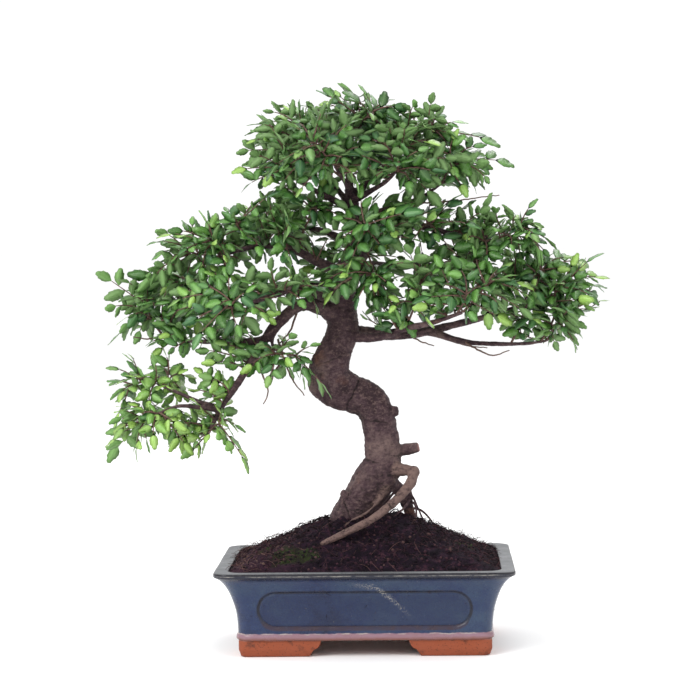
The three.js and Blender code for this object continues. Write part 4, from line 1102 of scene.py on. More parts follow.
@dataclass
class Pot:
    """The glazed pot: walls, rim, bead, oval panels, feet and drain holes."""

    half_length: float = 125.0
    depth_loss: float = 30.0
    corner: float = 13.0
    corner_steps: int = 8
    wall_step: float = 0.85
    groove: float = 2.6
    groove_depth: float = 1.3
    outer_skin: float = 4.0
    panels_below: float = 120.0
    panel: tuple[float, float] = (24.0, 55.5)
    foot_outer: tuple[float, float] = (105.4, 75.4)
    foot_thickness: float = 15.0
    foot_levels: Sequence[Spot] = (
        (0.0, 2.2, 59.0), (0.8, 1.5, 59.7), (3.0, 0.9, 61.0), (5.4, 0.1, 62.6), (6.2, 0.0, 63.6),
        (6.8, 0.0, 65.2), (7.6, 0.0, 66.3), (9.0, 0.0, 67.3), (11.5, 0.0, 68.5), (14.3, 0.0, 69.2),
    )
    foot_short_arm: float = 23.0
    drain_x: float = 52.0
    drain_radius: float = 8.0
    bead: Sequence[Spot] = (
        (104.0, 13.5), (105.6, 13.6), (106.8, 14.1), (107.3, 15.0), (107.5, 16.3), (107.3, 17.6),
        (106.8, 18.6), (106.1, 19.2), (105.9, 19.8),
    )
    flare: Sequence[Spot] = (
        (106.0, 20.6), (106.5, 29.0), (107.8, 38.0), (110.2, 47.0), (113.2, 55.0), (116.2, 60.3),
        (119.0, 64.0), (121.6, 66.3), (123.6, 67.6),
    )
    lip: Sequence[Spot] = (
        (124.5, 68.1), (124.95, 68.7), (125.0, 69.6), (125.0, 70.6), (124.8, 71.3), (124.3, 71.8),
        (123.4, 72.0), (120.0, 72.05), (117.0, 72.0), (114.6, 72.0), (113.7, 71.8), (113.2, 71.3),
        (112.8, 70.4), (111.5, 66.0), (98.0, 22.0),
    )

    def build(self, finish: Material) -> None:
        """Builds the pot and hands it over."""
        draft = MeshDraft()
        flare = SmoothRoute([(half, 0, height) for half, height in self.flare])
        rows = int(flare.length / self.wall_step)
        wall = [(point[0], point[2]) for point in (flare.at(i / rows) for i in range(rows + 1))]
        draft.loft([self._ring(half, height) for half, height in (*self.bead, *wall, *self.lip)])
        piece = draft.build("glazed_pot")
        piece.data.materials.append(finish)
        self._drill(piece)
        feet = MeshDraft()
        for sign_x in (-1, 1):
            for sign_y in (-1, 1):
                self._foot(feet, sign_x, sign_y)
        self._join(piece, feet)
        mark(piece, "panel", [self._edge_at(corner) for corner in corners_of(piece)])
        hand_over(piece, "glaze", "pot")

    def _stations(self, wall: Wall, low: float) -> list[float]:
        """Places along a wall's straight part, closer where its panel ends."""
        near = wall.value - (self.panel[1] - self.panel[0]) / 2 - self.groove
        middle = np.arange(0, near, 3.2)
        ends = np.arange(near, wall.value + 1.5, self.wall_step)
        half = [*middle, *ends, low]
        return [-value for value in reversed(half[1:])] + half

    def _ring(self, half: float, height: float) -> list[Spot]:
        """One level of the pot's surface, with the panels' grooves pressed in and slight waves."""
        long_side = self._stations(Wall.LONG, 91.8)
        short_side = self._stations(Wall.SHORT, 61.0)
        deep = half - self.depth_loss
        ring: list[Spot] = []
        for quarter in range(4):
            centre = (half - self.corner, deep - self.corner)
            sign = CORNER_SIGNS[quarter]
            for step in range(self.corner_steps + 1):
                angle = (quarter - 1 + step / self.corner_steps) * math.pi / 2
                ring.append((sign[0] * centre[0] + self.corner * math.cos(angle),
                             sign[1] * centre[1] + self.corner * math.sin(angle), height))
            wall = Wall.SHORT if quarter % 2 == 0 else Wall.LONG
            for u in (short_side if wall is Wall.SHORT else long_side):
                sink = self._sink(wall, u, height) if half < self.panels_below else 0.0
                out = deep if wall is Wall.LONG else half
                ring.append((*quarter_turned(quarter, out - sink, u), height))
        return [self._waved(point) for point in ring]

    def _panel_edge(self, wall: Wall, u: float, height: float) -> float:
        """How far a place lies outside a wall's panel, below zero inside it."""
        bottom, top = self.panel
        radius = (top - bottom) / 2
        over = max(abs(u) - (wall.value - radius), 0.0)
        return math.hypot(over, height - (top + bottom) / 2) - radius

    def _sink(self, wall: Wall, u: float, height: float) -> float:
        """How far the groove lies under the wall at a place."""
        far = abs(self._panel_edge(wall, u, height) + self.groove / 2) / (self.groove / 2)
        return self.groove_depth * (1 - far ** 3) if far < 1 else 0.0

    def _edge_at(self, corner: Sequence[float]) -> float:
        """How far a corner of the finished pot lies outside a panel, and a lot where it has none."""
        halves, heights = zip(*self.flare)
        half = float(np.interp(corner[2], heights, halves))
        if abs(corner[1]) > half - self.depth_loss - self.outer_skin:
            return self._panel_edge(Wall.LONG, corner[0], corner[2])
        if abs(corner[0]) > half - self.outer_skin:
            return self._panel_edge(Wall.SHORT, corner[1], corner[2])
        return self.half_length

    @staticmethod
    def _waved(point: Spot) -> Spot:
        """Shifts a point a little, as on thick handmade glaze."""
        shift = 0.28 * rough(point, 34, 2) + 0.07 * rough(point, 7, 2)
        flat = math.hypot(point[0], point[1])
        return (point[0] * (1 + shift / flat), point[1] * (1 + shift / flat), point[2])

    def _foot(self, draft: MeshDraft, sign_x: int, sign_y: int) -> None:
        """Adds a foot: an L in plan whose arms end in a soft step."""
        rings = []
        outer_x, outer_y = self.foot_outer
        for height, inset, arm in self.foot_levels:
            inner = (outer_x - self.foot_thickness, outer_y - self.foot_thickness)
            end = (outer_x - arm, outer_y - arm + self.foot_short_arm)
            edge_x, edge_y = outer_x - inset, outer_y - inset
            round_corner = [(edge_x - 6 + 6 * math.sin(a), edge_y - 6 + 6 * math.cos(a))
                            for a in np.linspace(0, math.pi / 2, 6)]
            plan = [(end[0], inner[1]), (end[0], edge_y), *round_corner, (edge_x, end[1]),
                    (inner[0], end[1]), inner]
            ring = [(sign_x * x, sign_y * y, height) for x, y in plan]
            rings.append(ring if sign_x * sign_y < 0 else ring[::-1])
        draft.loft(rings)

    @staticmethod
    def _join(piece: Object, draft: MeshDraft) -> None:
        """Joins further bodies to a piece, with their sharp edges a little rounded."""
        more = draft.build("feet")
        more.data.materials.append(piece.data.materials[0])
        bevel = more.modifiers.new("rounded", "BEVEL")
        bevel.width, bevel.segments = 0.7 * MM, 2
        bevel.harden_normals = True
        settled(more)
        with bpy.context.temp_override(active_object=piece, selected_editable_objects=[piece, more]):
            bpy.ops.object.join()

    def _drill(self, piece: Object) -> None:
        """Cuts both drain holes through the floor."""
        for sign in (-1, 1):
            draft = MeshDraft()
            middle = np.array([sign * self.drain_x, 0.0, 0.0])
            draft.tube([middle + UP * 8, middle + UP * 28], [self.drain_radius] * 2, 32)
            drill = draft.build("drill")
            cut = piece.modifiers.new("hole", "BOOLEAN")
            cut.object, cut.operation, cut.solver = drill, "DIFFERENCE", "EXACT"
            settled(piece)
            bpy.data.objects.remove(drill)


@dataclass
class Soil:
    """The mound of peat, with crumbs, fibres and moss on it."""

    wall_half: float = 111.7
    floor_half: float = 97.4
    floor_height: float = 22.3
    depth_loss: float = 30.0
    corner: float = 13.0
    middle: tuple[float, float] = (5.0, 2.0)
    levels: Sequence[Spot] = (
        (1.0, 70.6, 0.0), (0.985, 71.4, 0.0), (0.86, 80.0, 0.25), (0.66, 90.0, 0.55), (0.45, 101.0, 0.85),
        (0.26, 109.0, 1.0), (0.08, 111.0, 1.0),
    )
    rings: int = 62
    long_points: int = 88
    short_points: int = 62
    corner_points: int = 6
    moss_spots: Sequence[Spot] = (
        (-66, -60, 16), (-48, -62, 12), (84, -22, 10), (-84, -30, 10), (20, 58, 26), (60, 40, 16),
        (-60, 45, 20), (96, 30, 10),
    )

    def build(self, finish: Material) -> Object:
        """Builds the mound and hands it over.

        Returns:
            The mound, for what lies on it.
        """
        draft = MeshDraft()
        edge = self._outline(self.wall_half)
        rings = [[(x, y, self.floor_height) for x, y in self._outline(self.floor_half)]]
        for index in range(self.rings + 1):
            share = mix(1.0, self.levels[-1][0], index / self.rings)
            rings.append(self._level(edge, share))
        draft.loft(rings)
        piece = draft.build("peat_mound")
        piece.data.materials.append(finish)
        mark(piece, "moss", [self.mossy(corner) for corner in corners_of(piece)])
        hand_over(piece, "soil", "soil")
        return piece

    def _outline(self, half: float) -> list[tuple[float, float]]:
        """The round-cornered outline of the pot's inside at a half length."""
        deep = half - self.depth_loss
        reach = (half - self.corner, deep - self.corner)
        ring = []
        for quarter in range(4):
            sign = CORNER_SIGNS[quarter]
            for step in range(self.corner_points):
                angle = (quarter - 1 + step / self.corner_points) * math.pi / 2
                ring.append((sign[0] * reach[0] + self.corner * math.cos(angle),
                             sign[1] * reach[1] + self.corner * math.sin(angle)))
            if quarter % 2 == 0:
                count, out, side = self.short_points, half, reach[1]
            else:
                count, out, side = self.long_points, deep, reach[0]
            ring.extend(quarter_turned(quarter, out, mix(-1.0, 1.0, step / count) * side)
                        for step in range(count))
        return ring

    def _level(self, edge: Sequence[tuple[float, float]], share: float) -> list[Spot]:
        """One ring of the mound's lumpy top."""
        shares, heights, ovals = zip(*reversed(self.levels))
        height = float(np.interp(share, shares, heights))
        oval = float(np.interp(share, shares, ovals))
        ring = []
        lump = min(1.0, (1.0 - share) * 9)
        for x, y in edge:
            far = math.hypot(x / self.wall_half, y / (self.wall_half - self.depth_loss))
            kept = share * mix(1.0, 1 / far, oval)
            place = (self.middle[0] * (1 - share) + x * kept, self.middle[1] * (1 - share) + y * kept,
                     height)
            bump = 1.8 * rough(place, 20, 3) + 2.4 * rough(place, 8, 3)
            ring.append((place[0], place[1], height + lump * bump))
        return ring

    def mossy(self, place: Sequence[float]) -> float:
        """How much moss grows at a place, from 0 to 1."""
        near = max(1 - math.hypot(place[0] - x, place[1] - y) / size for x, y, size in self.moss_spots)
        return min(1.0, max(0.0, near * 2.2 + 0.5 * rough(place, 9, 3)))


class Ground(Enum):
    """What lies or grows on the soil: how many to a square metre and the largest size in metres."""

    CRUMB = (44000.0, 0.0034)
    FIBRE = (56000.0, 0.018)
    TUFT = (64000.0, 0.0024)


class Litter:
    """Crumbs, fibres and moss tufts that a geometry tree scatters over the mound."""

    def __init__(self, mound: Object) -> None:
        """Scatters over this mound."""
        self.mound = mound

    def build(self, kind: Ground, finish: Material, seed: int) -> None:
        """Scatters one kind and hands it over.

        Args:
            kind: What is scattered.
            finish: Its material.
            seed: The seed of every random draw.
        """
        name = f"ground_{kind.name.lower()}s"
        shape = self._shape(kind)
        piece = linked(name, self.mound.data.copy())
        piece.data.materials.clear()
        tree = self._tree(kind)
        modifier = piece.modifiers.new("scatter", "NODES")
        modifier.node_group = tree
        density, size = kind.value
        wanted = {"Shape": shape, "Density": density, "Size": size, "Seed": seed, "Finish": finish}
        fill(modifier, wanted)
        settled(piece)
        bpy.data.objects.remove(shape)
        hand_over(piece, "soil")

    @staticmethod
    def _shape(kind: Ground) -> Object:
        """Makes one crumb, fibre or tuft of about unit size."""
        draft = MeshDraft()
        if kind is Ground.CRUMB:
            heights = ((-0.4, 0.25), (-0.15, 0.48), (0.2, 0.42), (0.42, 0.16))
            rings = [[(radius * (1 + 0.3 * sway(k, level)) * math.cos(k * math.pi / 3),
                       radius * (1 + 0.3 * sway(k, level + 9)) * math.sin(k * math.pi / 3), height)
                      for k in range(6)] for level, (height, radius) in enumerate(heights)]
            draft.loft(rings)
        elif kind is Ground.FIBRE:
            line = bent(np.array([-0.5, 0, 0.0]), np.array([0.0, 0.35, 0.3]), np.array([0.5, -0.1, 0.0]), 6)
            draft.tube(list(line), [0.006, 0.011, 0.012, 0.012, 0.011, 0.009, 0.004], 3)
        else:
            for blade in range(5):
                turn = blade * GOLDEN_ANGLE
                tip = np.array([math.cos(turn) * 0.34, math.sin(turn) * 0.34, 0.8 + 0.2 * sway(blade, 5)])
                foot = np.array([math.cos(turn) * 0.12, math.sin(turn) * 0.12, -0.15])
                draft.tube([foot, mix(foot, tip, 0.55), tip], [0.13, 0.1, 0.02], 3)
        mesh = bpy.data.meshes.new("shape")
        mesh.from_pydata([tuple(corner) for corner in draft.corners], [], draft.faces)
        mesh.shade_smooth()
        return linked("shape", mesh)

    @staticmethod
    def _tree(kind: Ground) -> NodeTree:
        """Builds the scattering tree."""
        sheet = NodeSheet(bpy.data.node_groups.new(f"scatter_{kind.name.lower()}", "GeometryNodeTree"))
        sheet.set_outputs([("Geometry", "Geometry")])
        sheet.set_inputs([
            ("Geometry", "Geometry", None), ("Shape", "Object", None),
            ("Density", "Float", 1000.0), ("Size", "Float", 0.002),
            ("Seed", "Int", 1), ("Finish", "Material", None),
        ])
        start, end = sheet.add("NodeGroupInput"), sheet.add("NodeGroupOutput")
        facing = sheet.parts(sheet.add("GeometryNodeInputNormal").outputs[0])
        upward = sheet.math("GREATER_THAN", facing[2], 0.3)
        density = sheet.times(start.outputs["Density"], upward)
        if kind is Ground.TUFT:
            moss = sheet.add("GeometryNodeInputNamedAttribute", {"Name": "moss"}, data_type="FLOAT")
            grown = sheet.math("POWER", moss.outputs[0], 2.0)
            density = sheet.times(density, grown)
        points = sheet.add("GeometryNodeDistributePointsOnFaces", {
            "Mesh": start.outputs["Geometry"], "Density": density, "Seed": start.outputs["Seed"]})
        lean = 0.9 if kind is Ground.FIBRE else 0.5
        turn = sheet.add("FunctionNodeRandomValue", {
            0: (-lean, -lean, 0.0), 1: (lean, lean, 2 * math.pi), "Seed": start.outputs["Seed"]},
            data_type="FLOAT_VECTOR")
        size = sheet.add("FunctionNodeRandomValue", {
            2: 0.3, 3: 1.0, "Seed": start.outputs["Seed"]}, data_type="FLOAT")
        scale = sheet.times(size.outputs[1], start.outputs["Size"])
        tone = sheet.add("FunctionNodeRandomValue", {
            2: 0.0, 3: 1.0, "Seed": sheet.plus(start.outputs["Seed"], 7.0)}, data_type="FLOAT")
        toned = sheet.add("GeometryNodeStoreNamedAttribute", {
            "Geometry": points.outputs["Points"], "Name": "tone", "Value": tone.outputs[1]},
            data_type="FLOAT", domain="POINT")
        shape = sheet.add("GeometryNodeObjectInfo", {"Object": start.outputs["Shape"]})
        placed = sheet.add("GeometryNodeInstanceOnPoints", {
            "Points": toned.outputs[0], "Instance": shape.outputs["Geometry"],
            "Rotation": turn.outputs[0], "Scale": scale})
        real = sheet.add("GeometryNodeRealizeInstances", {0: placed.outputs[0]})
        dressed = sheet.add("GeometryNodeSetMaterial", {
            "Geometry": real.outputs[0], "Material": start.outputs["Finish"]})
        sheet.tree.links.new(dressed.outputs[0], end.inputs[0])
        return sheet.tree


def fill(modifier: bpy.types.NodesModifier, wanted: dict[str, Any]) -> None:
    """Sets a geometry modifier's inputs by their sockets' identifiers.

    Args:
        modifier: A modifier that already has its tree.
        wanted: A value for each input's name.
    """
    for item in modifier.node_group.interface.items_tree:
        if item.item_type == "SOCKET" and item.in_out == "INPUT" and item.name in wanted:
            modifier[item.identifier] = wanted[item.name]


@dataclass
class Wood:
    """The trunk, limbs, roots and stub as one skin, and the bare twigs."""

    trunk_sides: int = 28
    trunk_step: float = 4.0
    limb_sides: int = 10
    limb_step: float = 4.0
    collar: float = 0.55
    collar_reach: float = 9.0
    voxel: float = 1.05
    twig_radius: tuple[float, float] = (1.0, 0.45)
    crease_depth: float = 1.5
    crease_width: float = 1.1
    knot: Spot = (2, -8, 127)

    def build(self, bark: Material, cut: Material, twig: Material) -> None:
        """Builds both pieces and hands them over."""
        draft = MeshDraft()
        self._trunk(draft)
        for limb in LIMBS.values():
            self._limb(draft, limb)
        for middle, half in SCARS:
            self._lump(draft, middle, half)
        piece = draft.build("elm_wood")
        remesh = piece.modifiers.new("one_skin", "REMESH")
        remesh.mode, remesh.voxel_size = "VOXEL", self.voxel * MM
        smooth = piece.modifiers.new("smooth", "SMOOTH")
        smooth.factor, smooth.iterations = 0.5, 3
        settled(piece)
        self._weather(piece)
        piece.data.shade_smooth()
        piece.data.materials.append(bark)
        piece.data.materials.append(cut)
        self._show_cut(piece)
        hand_over(piece, "bark", "tree")
        self._bare_twigs(twig)

    def _trunk(self, draft: MeshDraft) -> None:
        """Adds the fluted trunk."""
        route = SmoothRoute([spot[:3] for spot in TRUNK])
        count = int(route.length / self.trunk_step)
        last = len(TRUNK) - 1
        rings = []
        side = np.array([1.0, 0.0, 0.0])
        for step in range(count + 1):
            t = step / count
            way = route.way(t)
            side = unit(side - way * side.dot(way))
            other = np.cross(way, side)
            radius = float(np.interp(route.share(t) * last, range(last + 1), [spot[3] for spot in TRUNK]))
            ring = []
            for k in range(self.trunk_sides):
                angle = k / self.trunk_sides * 2 * math.pi
                swell = 0.05 * math.sin(angle * 3 + t * 9) + 0.03 * math.sin(angle * 5 - t * 31)
                reach = radius * (1.02 + swell)
                ring.append(route.at(t) + reach * (side * math.cos(angle) + other * math.sin(angle)))
            rings.append(ring)
        draft.loft(rings)

    def _limb(self, draft: MeshDraft, limb: Limb) -> None:
        """Adds a limb that swells where it grows out and has small nodes."""
        route = SmoothRoute(limb.route)
        count = max(4, int(route.length / self.limb_step))
        points, radii = [], []
        for step in range(count + 1):
            t = step / count
            swell = self.collar * math.exp(-t * route.length / self.collar_reach)
            knot = 0.14 * rough(route.at(t) + 31.0, 9, 2)
            points.append(route.at(t))
            radii.append(mix(limb.thick, limb.thin, t) * (1 + swell + knot))
        draft.tube(points, radii, self.limb_sides)

    @staticmethod
    def _lump(draft: MeshDraft, middle: Spot, half: Spot) -> None:
        """Adds a rounded swelling."""
        rings = []
        for level in range(1, 8):
            polar = level / 8 * math.pi
            rings.append([(middle[0] + half[0] * math.sin(polar) * math.cos(k * math.pi / 6),
                           middle[1] + half[1] * math.sin(polar) * math.sin(k * math.pi / 6),
                           middle[2] - half[2] * math.cos(polar)) for k in range(12)])
        draft.loft(rings)

    def _weather(self, piece: Object) -> None:
        """Gives the skin its lumps, wrinkles and pits, and marks where it is hollow, for the bark's painted
        shade, and where the dark old scar lies.
        """
        corners, normals = corners_of(piece), normals_of(piece)
        mark(piece, "root", self._rooty(corners))
        lumps = np.array([0.85 * rough(corner, 15, 3) for corner in corners])
        squashed = corners * np.array([1.2, 1.2, 2.6])
        wrinkles = np.array([0.62 * rough(corner, 6, 3) for corner in squashed])
        shifts = lumps + wrinkles
        for middle, across, reach in CREASES:
            away = corners - np.array(middle, float)
            side = away @ unit(np.array(across, float)) + lumps * 2.5
            near = np.clip(1.6 - np.linalg.norm(away, axis=1) / reach, 0.0, 1.0)
            shifts -= self.crease_depth * near * np.exp(-(side / self.crease_width) ** 2)
        knot = np.hypot(corners[:, 0] - self.knot[0], corners[:, 2] - self.knot[2])
        front = corners[:, 1] < self.knot[1]
        shifts += front * (0.9 * np.exp(-((knot - 4.2) / 1.2) ** 2) - 0.7 * np.exp(-(knot / 2.4) ** 2))
        thick = self._thickness(corners)
        corners = corners + normals * (shifts * thick)[:, None]
        place_corners(piece, corners)
        scar = np.linalg.norm(corners - np.array(SCARS[1][0]), axis=1)
        # How hollow each corner is, for painted shade, and how near it lies to the dark old scar.
        mark(piece, "cavity", np.maximum(self._cavity(piece, corners), 0.7 - np.clip(scar / 9.0, 0.0, 0.7)))

    @staticmethod
    def _rooty(corners: Array) -> Array:
        """How near each corner lies to the two pale roots in front, from 0 to 1."""
        near = np.zeros(len(corners))
        for name in ("arching_root", "thin_front_root"):
            limb = LIMBS[name]
            route = SmoothRoute(limb.route)
            for t in np.linspace(0.08, 1.0, 60):
                far = np.linalg.norm(corners - route.at(t), axis=1) - mix(limb.thick, limb.thin, t)
                near = np.maximum(near, 1.0 - np.clip((far - 1.2) / 2.0, 0.0, 1.0))
        return near

    @staticmethod
    def _thickness(corners: Array) -> Array:
        """How fully each corner takes the lumps: less on thin limbs."""
        line = np.array([spot[:3] for spot in TRUNK])
        reach = np.array([spot[3] for spot in TRUNK])
        share = np.zeros(len(corners))
        for place, radius in zip(line, reach):
            near = 1.0 - np.clip((np.linalg.norm(corners - place, axis=1) - radius * 1.3) / 12.0, 0.0, 1.0)
            share = np.maximum(share, near)
        return 0.3 + 0.7 * share

    @staticmethod
    def _cavity(piece: Object, corners: Array) -> Array:
        """How hollow the skin is at each corner, from 0 to 1."""
        edges = np.zeros(len(piece.data.edges) * 2, int)
        piece.data.edges.foreach_get("vertices", edges)
        pairs = edges.reshape(-1, 2)
        normals = normals_of(piece)
        hollow = np.zeros(len(corners))
        count = np.zeros(len(corners))
        for a, b in ((0, 1), (1, 0)):
            step = corners[pairs[:, b]] - corners[pairs[:, a]]
            rise = np.einsum("ij,ij->i", step, normals[pairs[:, a]])
            np.add.at(hollow, pairs[:, a], rise)
            np.add.at(count, pairs[:, a], 1)
        hollow = hollow / np.maximum(count, 1)
        for _ in range(2):
            spread = np.zeros(len(corners))
            np.add.at(spread, pairs[:, 0], hollow[pairs[:, 1]])
            np.add.at(spread, pairs[:, 1], hollow[pairs[:, 0]])
            hollow = mix(hollow, spread / np.maximum(count, 1), 0.6)
        return np.clip(hollow / 0.22, 0.0, 1.0)

    @staticmethod
    def _show_cut(piece: Object) -> None:
        """Gives the flat end of the sawn stub its own finish."""
        end = np.array(LIMBS["stub"].route[-1], float)
        way = unit(end - np.array(LIMBS["stub"].route[-2], float))
        radius = LIMBS["stub"].thin + 0.4
        for face in piece.data.polygons:
            place = np.array(face.center) / MM - POT_CENTRE
            near = np.linalg.norm(place - end) < radius
            if near and np.array(face.normal).dot(way) > 0.75:
                face.material_index = 1

    def _bare_twigs(self, finish: Material) -> None:
        """Builds the dead twigs."""
        draft = MeshDraft()
        for index, line in enumerate(BARE_TWIGS):
            route = SmoothRoute(line)
            count = int(route.length / 3)
            points = []
            for step in range(count + 1):
                shift = np.array([sway(step, index + 40), sway(step, index + 60), sway(step, index + 80)])
                points.append(route.at(step / count) + shift * 0.35)
            radii = [mix(*self.twig_radius, step / count) for step in range(count + 1)]
            draft.tube(points, radii, 6)
        piece = draft.build("bare_twigs")
        piece.data.materials.append(finish)
        hand_over(piece, "bark")


@dataclass
class FineRoots:
    """Thin dark roots beside the leg root, and curling ones that come out of the mound near the trunk."""

    radius: tuple[float, float] = (1.3, 0.6)
    curl_count: int = 80
    curl_places: int = 6
    curl_step: float = 4.6
    curl_radius: tuple[float, float] = (0.6, 0.28)
    lifts: Sequence[float] = (-1.5, 2.2, 3.4, 1.2, 2.6, -1.2)

    def build(self, mound: Object, bark: Material, peaty: Material) -> None:
        """Builds both pieces and hands them over."""
        curls = [self._curl(mound, index) for index in range(self.curl_count)]
        self._make("fine_roots", FINE_ROOTS, self.radius, 6, bark)
        self._make("root_curls", curls, self.curl_radius, 4, peaty)

    def _make(self, name: str, lines: Iterable[Sequence[Spot]], radius: tuple[float, float], sides: int,
              finish: Material) -> None:
        """Builds one piece of such roots and hands it over."""
        draft = MeshDraft()
        for line in lines:
            self._add(draft, line, radius, sides)
        piece = draft.build(name)
        piece.data.materials.append(finish)
        hand_over(piece, "bark")

    @staticmethod
    def _add(draft: MeshDraft, line: Sequence[Spot], radius: tuple[float, float], sides: int) -> None:
        """Adds one root along a smooth route."""
        route = SmoothRoute(line)
        count = max(4, int(route.length / 2.2))
        points = [route.at(step / count) for step in range(count + 1)]
        draft.tube(points, [mix(*radius, step / count) for step in range(count + 1)], sides)

    def _curl(self, mound: Object, index: int) -> list[Spot]:
        """Gives a route that leaves the mound, winds over it and goes back in."""
        turn = index * GOLDEN_ANGLE
        far = 20 + 44 * chance(index, 3)
        place = np.array([math.cos(turn) * far * 1.25, math.sin(turn) * far * 0.8])
        heading = turn + 1.4 * sway(index, 5)
        line = []
        for step in range(self.curl_places):
            start = (place[0] * MM + POT_CENTRE[0] * MM, place[1] * MM, 0.2)
            hit, spot, *_ = mound.ray_cast(start, (0, 0, -1))
            if hit:
                line.append((place[0], place[1], spot[2] / MM + self.lifts[step]))
            heading += 0.9 * sway(step, index + 7)
            place = place + self.curl_step * np.array([math.cos(heading), math.sin(heading)])
        return line


@dataclass
class SprayGrowth:
    """One spray under way: its twigs as lines with radii, and its leaves."""

    lines: list[tuple[Array, Array]] = field(default_factory=list)
    leaves: list[tuple[Array, Array, Array, float, int]] = field(default_factory=list)

    def add_leaf(self, base: Array, reach: Array, face: Array, tone: float, cut: int) -> None:
        """Adds a leaf from its base, its length as a vector, the way it faces, its tone and its cut."""
        self.leaves.append((base, reach, face, tone, cut))


@dataclass
class Foliage:
    """Leafy sprays grown on the same twigs as the solids, with finer shoots filling their clouds."""

    # How the solid sprays grow, kept alike so that the fine ones stand where they do
    reach: float = 0.5
    tip_range: tuple[float, float] = (0.92, -0.4)
    start_places: int = 20
    first_place: int = 8
    forward_lean: float = 22.0
    twig_forward: float = 0.12
    twig_bend: float = 0.1
    try_turn: float = 0.35
    try_bend: float = 0.04
    twig_tries: int = 8
    facing_place: float = 0.9
    facing_mix: tuple[float, float] = (0.75, 0.6)
    shoots: Sequence[tuple[float, float, float, int, int]] = (
        (0.94, 0, 0.45, 5, 30), (0.8, 1.9, 0.55, 4, 49),
    )
    shoot_tries: int = 16
    try_roll: float = 0.06
    turn_sway: float = 0.5
    node_spacing: float = 7.4
    arch: float = 7.0
    leaf_length: tuple[float, float] = (20.0, 25.0)
    leaf_angle: float = 1.02
    side_sway: float = 0.07
    tip_sway: float = 0.12
    droop: float = 5.0
    leaf_roll: float = 0.42

    # What the fine sprays add
    fine_area: float = 640.0
    fine_tips: tuple[float, float] = (0.97, -0.66)
    fine_reach: float = 46.0
    fine_spacing: float = 4.8
    fine_length: tuple[float, float] = (11.5, 18.5)
    fine_angle: float = 0.98
    fine_lift: float = 0.16
    fine_sag: float = 0.05
    fine_leafy: float = 0.92
    fine_facing: Spot = (0.85, 0.5, 0.7)
    fine_roll: float = 0.75
    main_size: float = 0.8
    twig_radius: tuple[float, float] = (0.95, 0.4)
    cuts: int = 6
    young_from: float = 0.64
    tone_base: float = 0.12
    tone_spread: float = 0.44
    tone_rise: tuple[float, float] = (0.16, 0.66)

    def build(self, nodes: Iterable[str], leaf: Material, twig: Material) -> None:
        """Grows and hands over one piece for each spray.

        Args:
            nodes: The names of the frame's nodes.
            leaf: The leaves' material.
            twig: The twigs' material.
        """
        cutter = LeafCutter(self.cuts)
        tree = self._tree()
        present = set(nodes)
        grown: dict[str, tuple[SprayGrowth, Array]] = {}
        for place, cloud in enumerate(CLOUDS):
            for index in range(cloud.sprays):
                node = f"spray_{cloud.name}_{index + 1}"
                if node in present:
                    grown[node] = self._grow_main(cloud, index, place * 100 + index * 7 + 1, node)
        for place, cloud in enumerate(CLOUDS + LOOSE_CLOUDS):
            self._grow_fine(cloud, place, grown)
        for node, (growth, _) in grown.items():
            self._make(node, growth, tree, cutter, leaf, twig)
        cutter.clear()
        log.info("leaves in all: %d", sum(len(growth.leaves) for growth, _ in grown.values()))

    def _stretch(self, points: Array, t: float) -> tuple[Array, Array]:
        """Gives the place and direction at a share of a route of straight stretches."""
        steps = len(points) - 1
        place = min(max(t, 0.0), 1.0) * steps
        index = min(steps - 1, int(place))
        middle = mix(points[index], points[index + 1], place - index)
        return middle, unit(points[index + 1] - points[index])

    def _start_on(self, limb: Limb, tip: Array) -> tuple[Array, Array]:
        """Finds where on its limb a spray starts, and the limb's direction there."""
        route = SmoothRoute(limb.route)
        best = None
        for i in range(self.first_place, self.start_places + 1):
            point, way = route.at(i / self.start_places), route.way(i / self.start_places)
            away = tip - point
            far = float(np.linalg.norm(away))
            cost = far - float(unit(away).dot(way)) * self.forward_lean
            if best is None or cost < best[0]:
                best = (cost, point, way)
        return best[1], best[2]

    def _route(self, cloud: Cloud, index: int, seed: int, attempt: int) -> Array:
        """Gives a main twig's route at one of its tries."""
        turn = chance(seed, 1) * math.pi * 2 + self.try_turn * attempt * (1 if attempt % 2 else -1)
        height = mix(*self.tip_range, (index + 0.5) / cloud.sprays)
        turn += index * GOLDEN_ANGLE
        flat = math.sqrt(1 - height * height)
        out = np.array([flat * math.cos(turn), flat * math.sin(turn), height])
        tip = np.array(cloud.at, float) + out * np.array(cloud.half, float) * self.reach
        start, way = self._start_on(LIMBS[cloud.limb], tip)
        far = float(np.linalg.norm(tip - start))
        bend = np.array([sway(attempt, seed + 5), sway(attempt, seed + 6), 0.5 + sway(attempt, seed + 7)])
        control = (start + tip) / 2 + way * far * self.twig_forward
        control = control + bend * far * (self.twig_bend + self.try_bend * attempt)
        return bent(start, control, tip, 2)

    def _grow_main(self, cloud: Cloud, index: int, seed: int, node: str) -> tuple[SprayGrowth, Array]:
        """Grows the twig and shoots that the solid spray has, where it has them."""
        corners = corners_of(bpy.data.objects[node])
        routes = [self._route(cloud, index, seed, attempt) for attempt in range(self.twig_tries)]
        off = [np.linalg.norm(corners - route[-1], axis=1).min() for route in routes]
        route = routes[int(np.argmin(off))]
        growth = SprayGrowth()
        line = SmoothRoute(route)
        count = max(4, int(line.length / 4))
        points = np.array([line.at(i / count) for i in range(count + 1)])
        growth.lines.append((points, np.linspace(1.15, 0.7, count + 1)))
        outward = unit(self._stretch(route, self.facing_place)[0] - np.array(cloud.at, float))
        facing = unit(outward * self.facing_mix[0] + UP * self.facing_mix[1])
        side = 1 if chance(1, seed + 20) > 0.5 else -1
        for shoot in self.shoots:
            self._grow_shoot(growth, cloud, route, facing, side, shoot, seed, corners)
        return growth, route[-1]

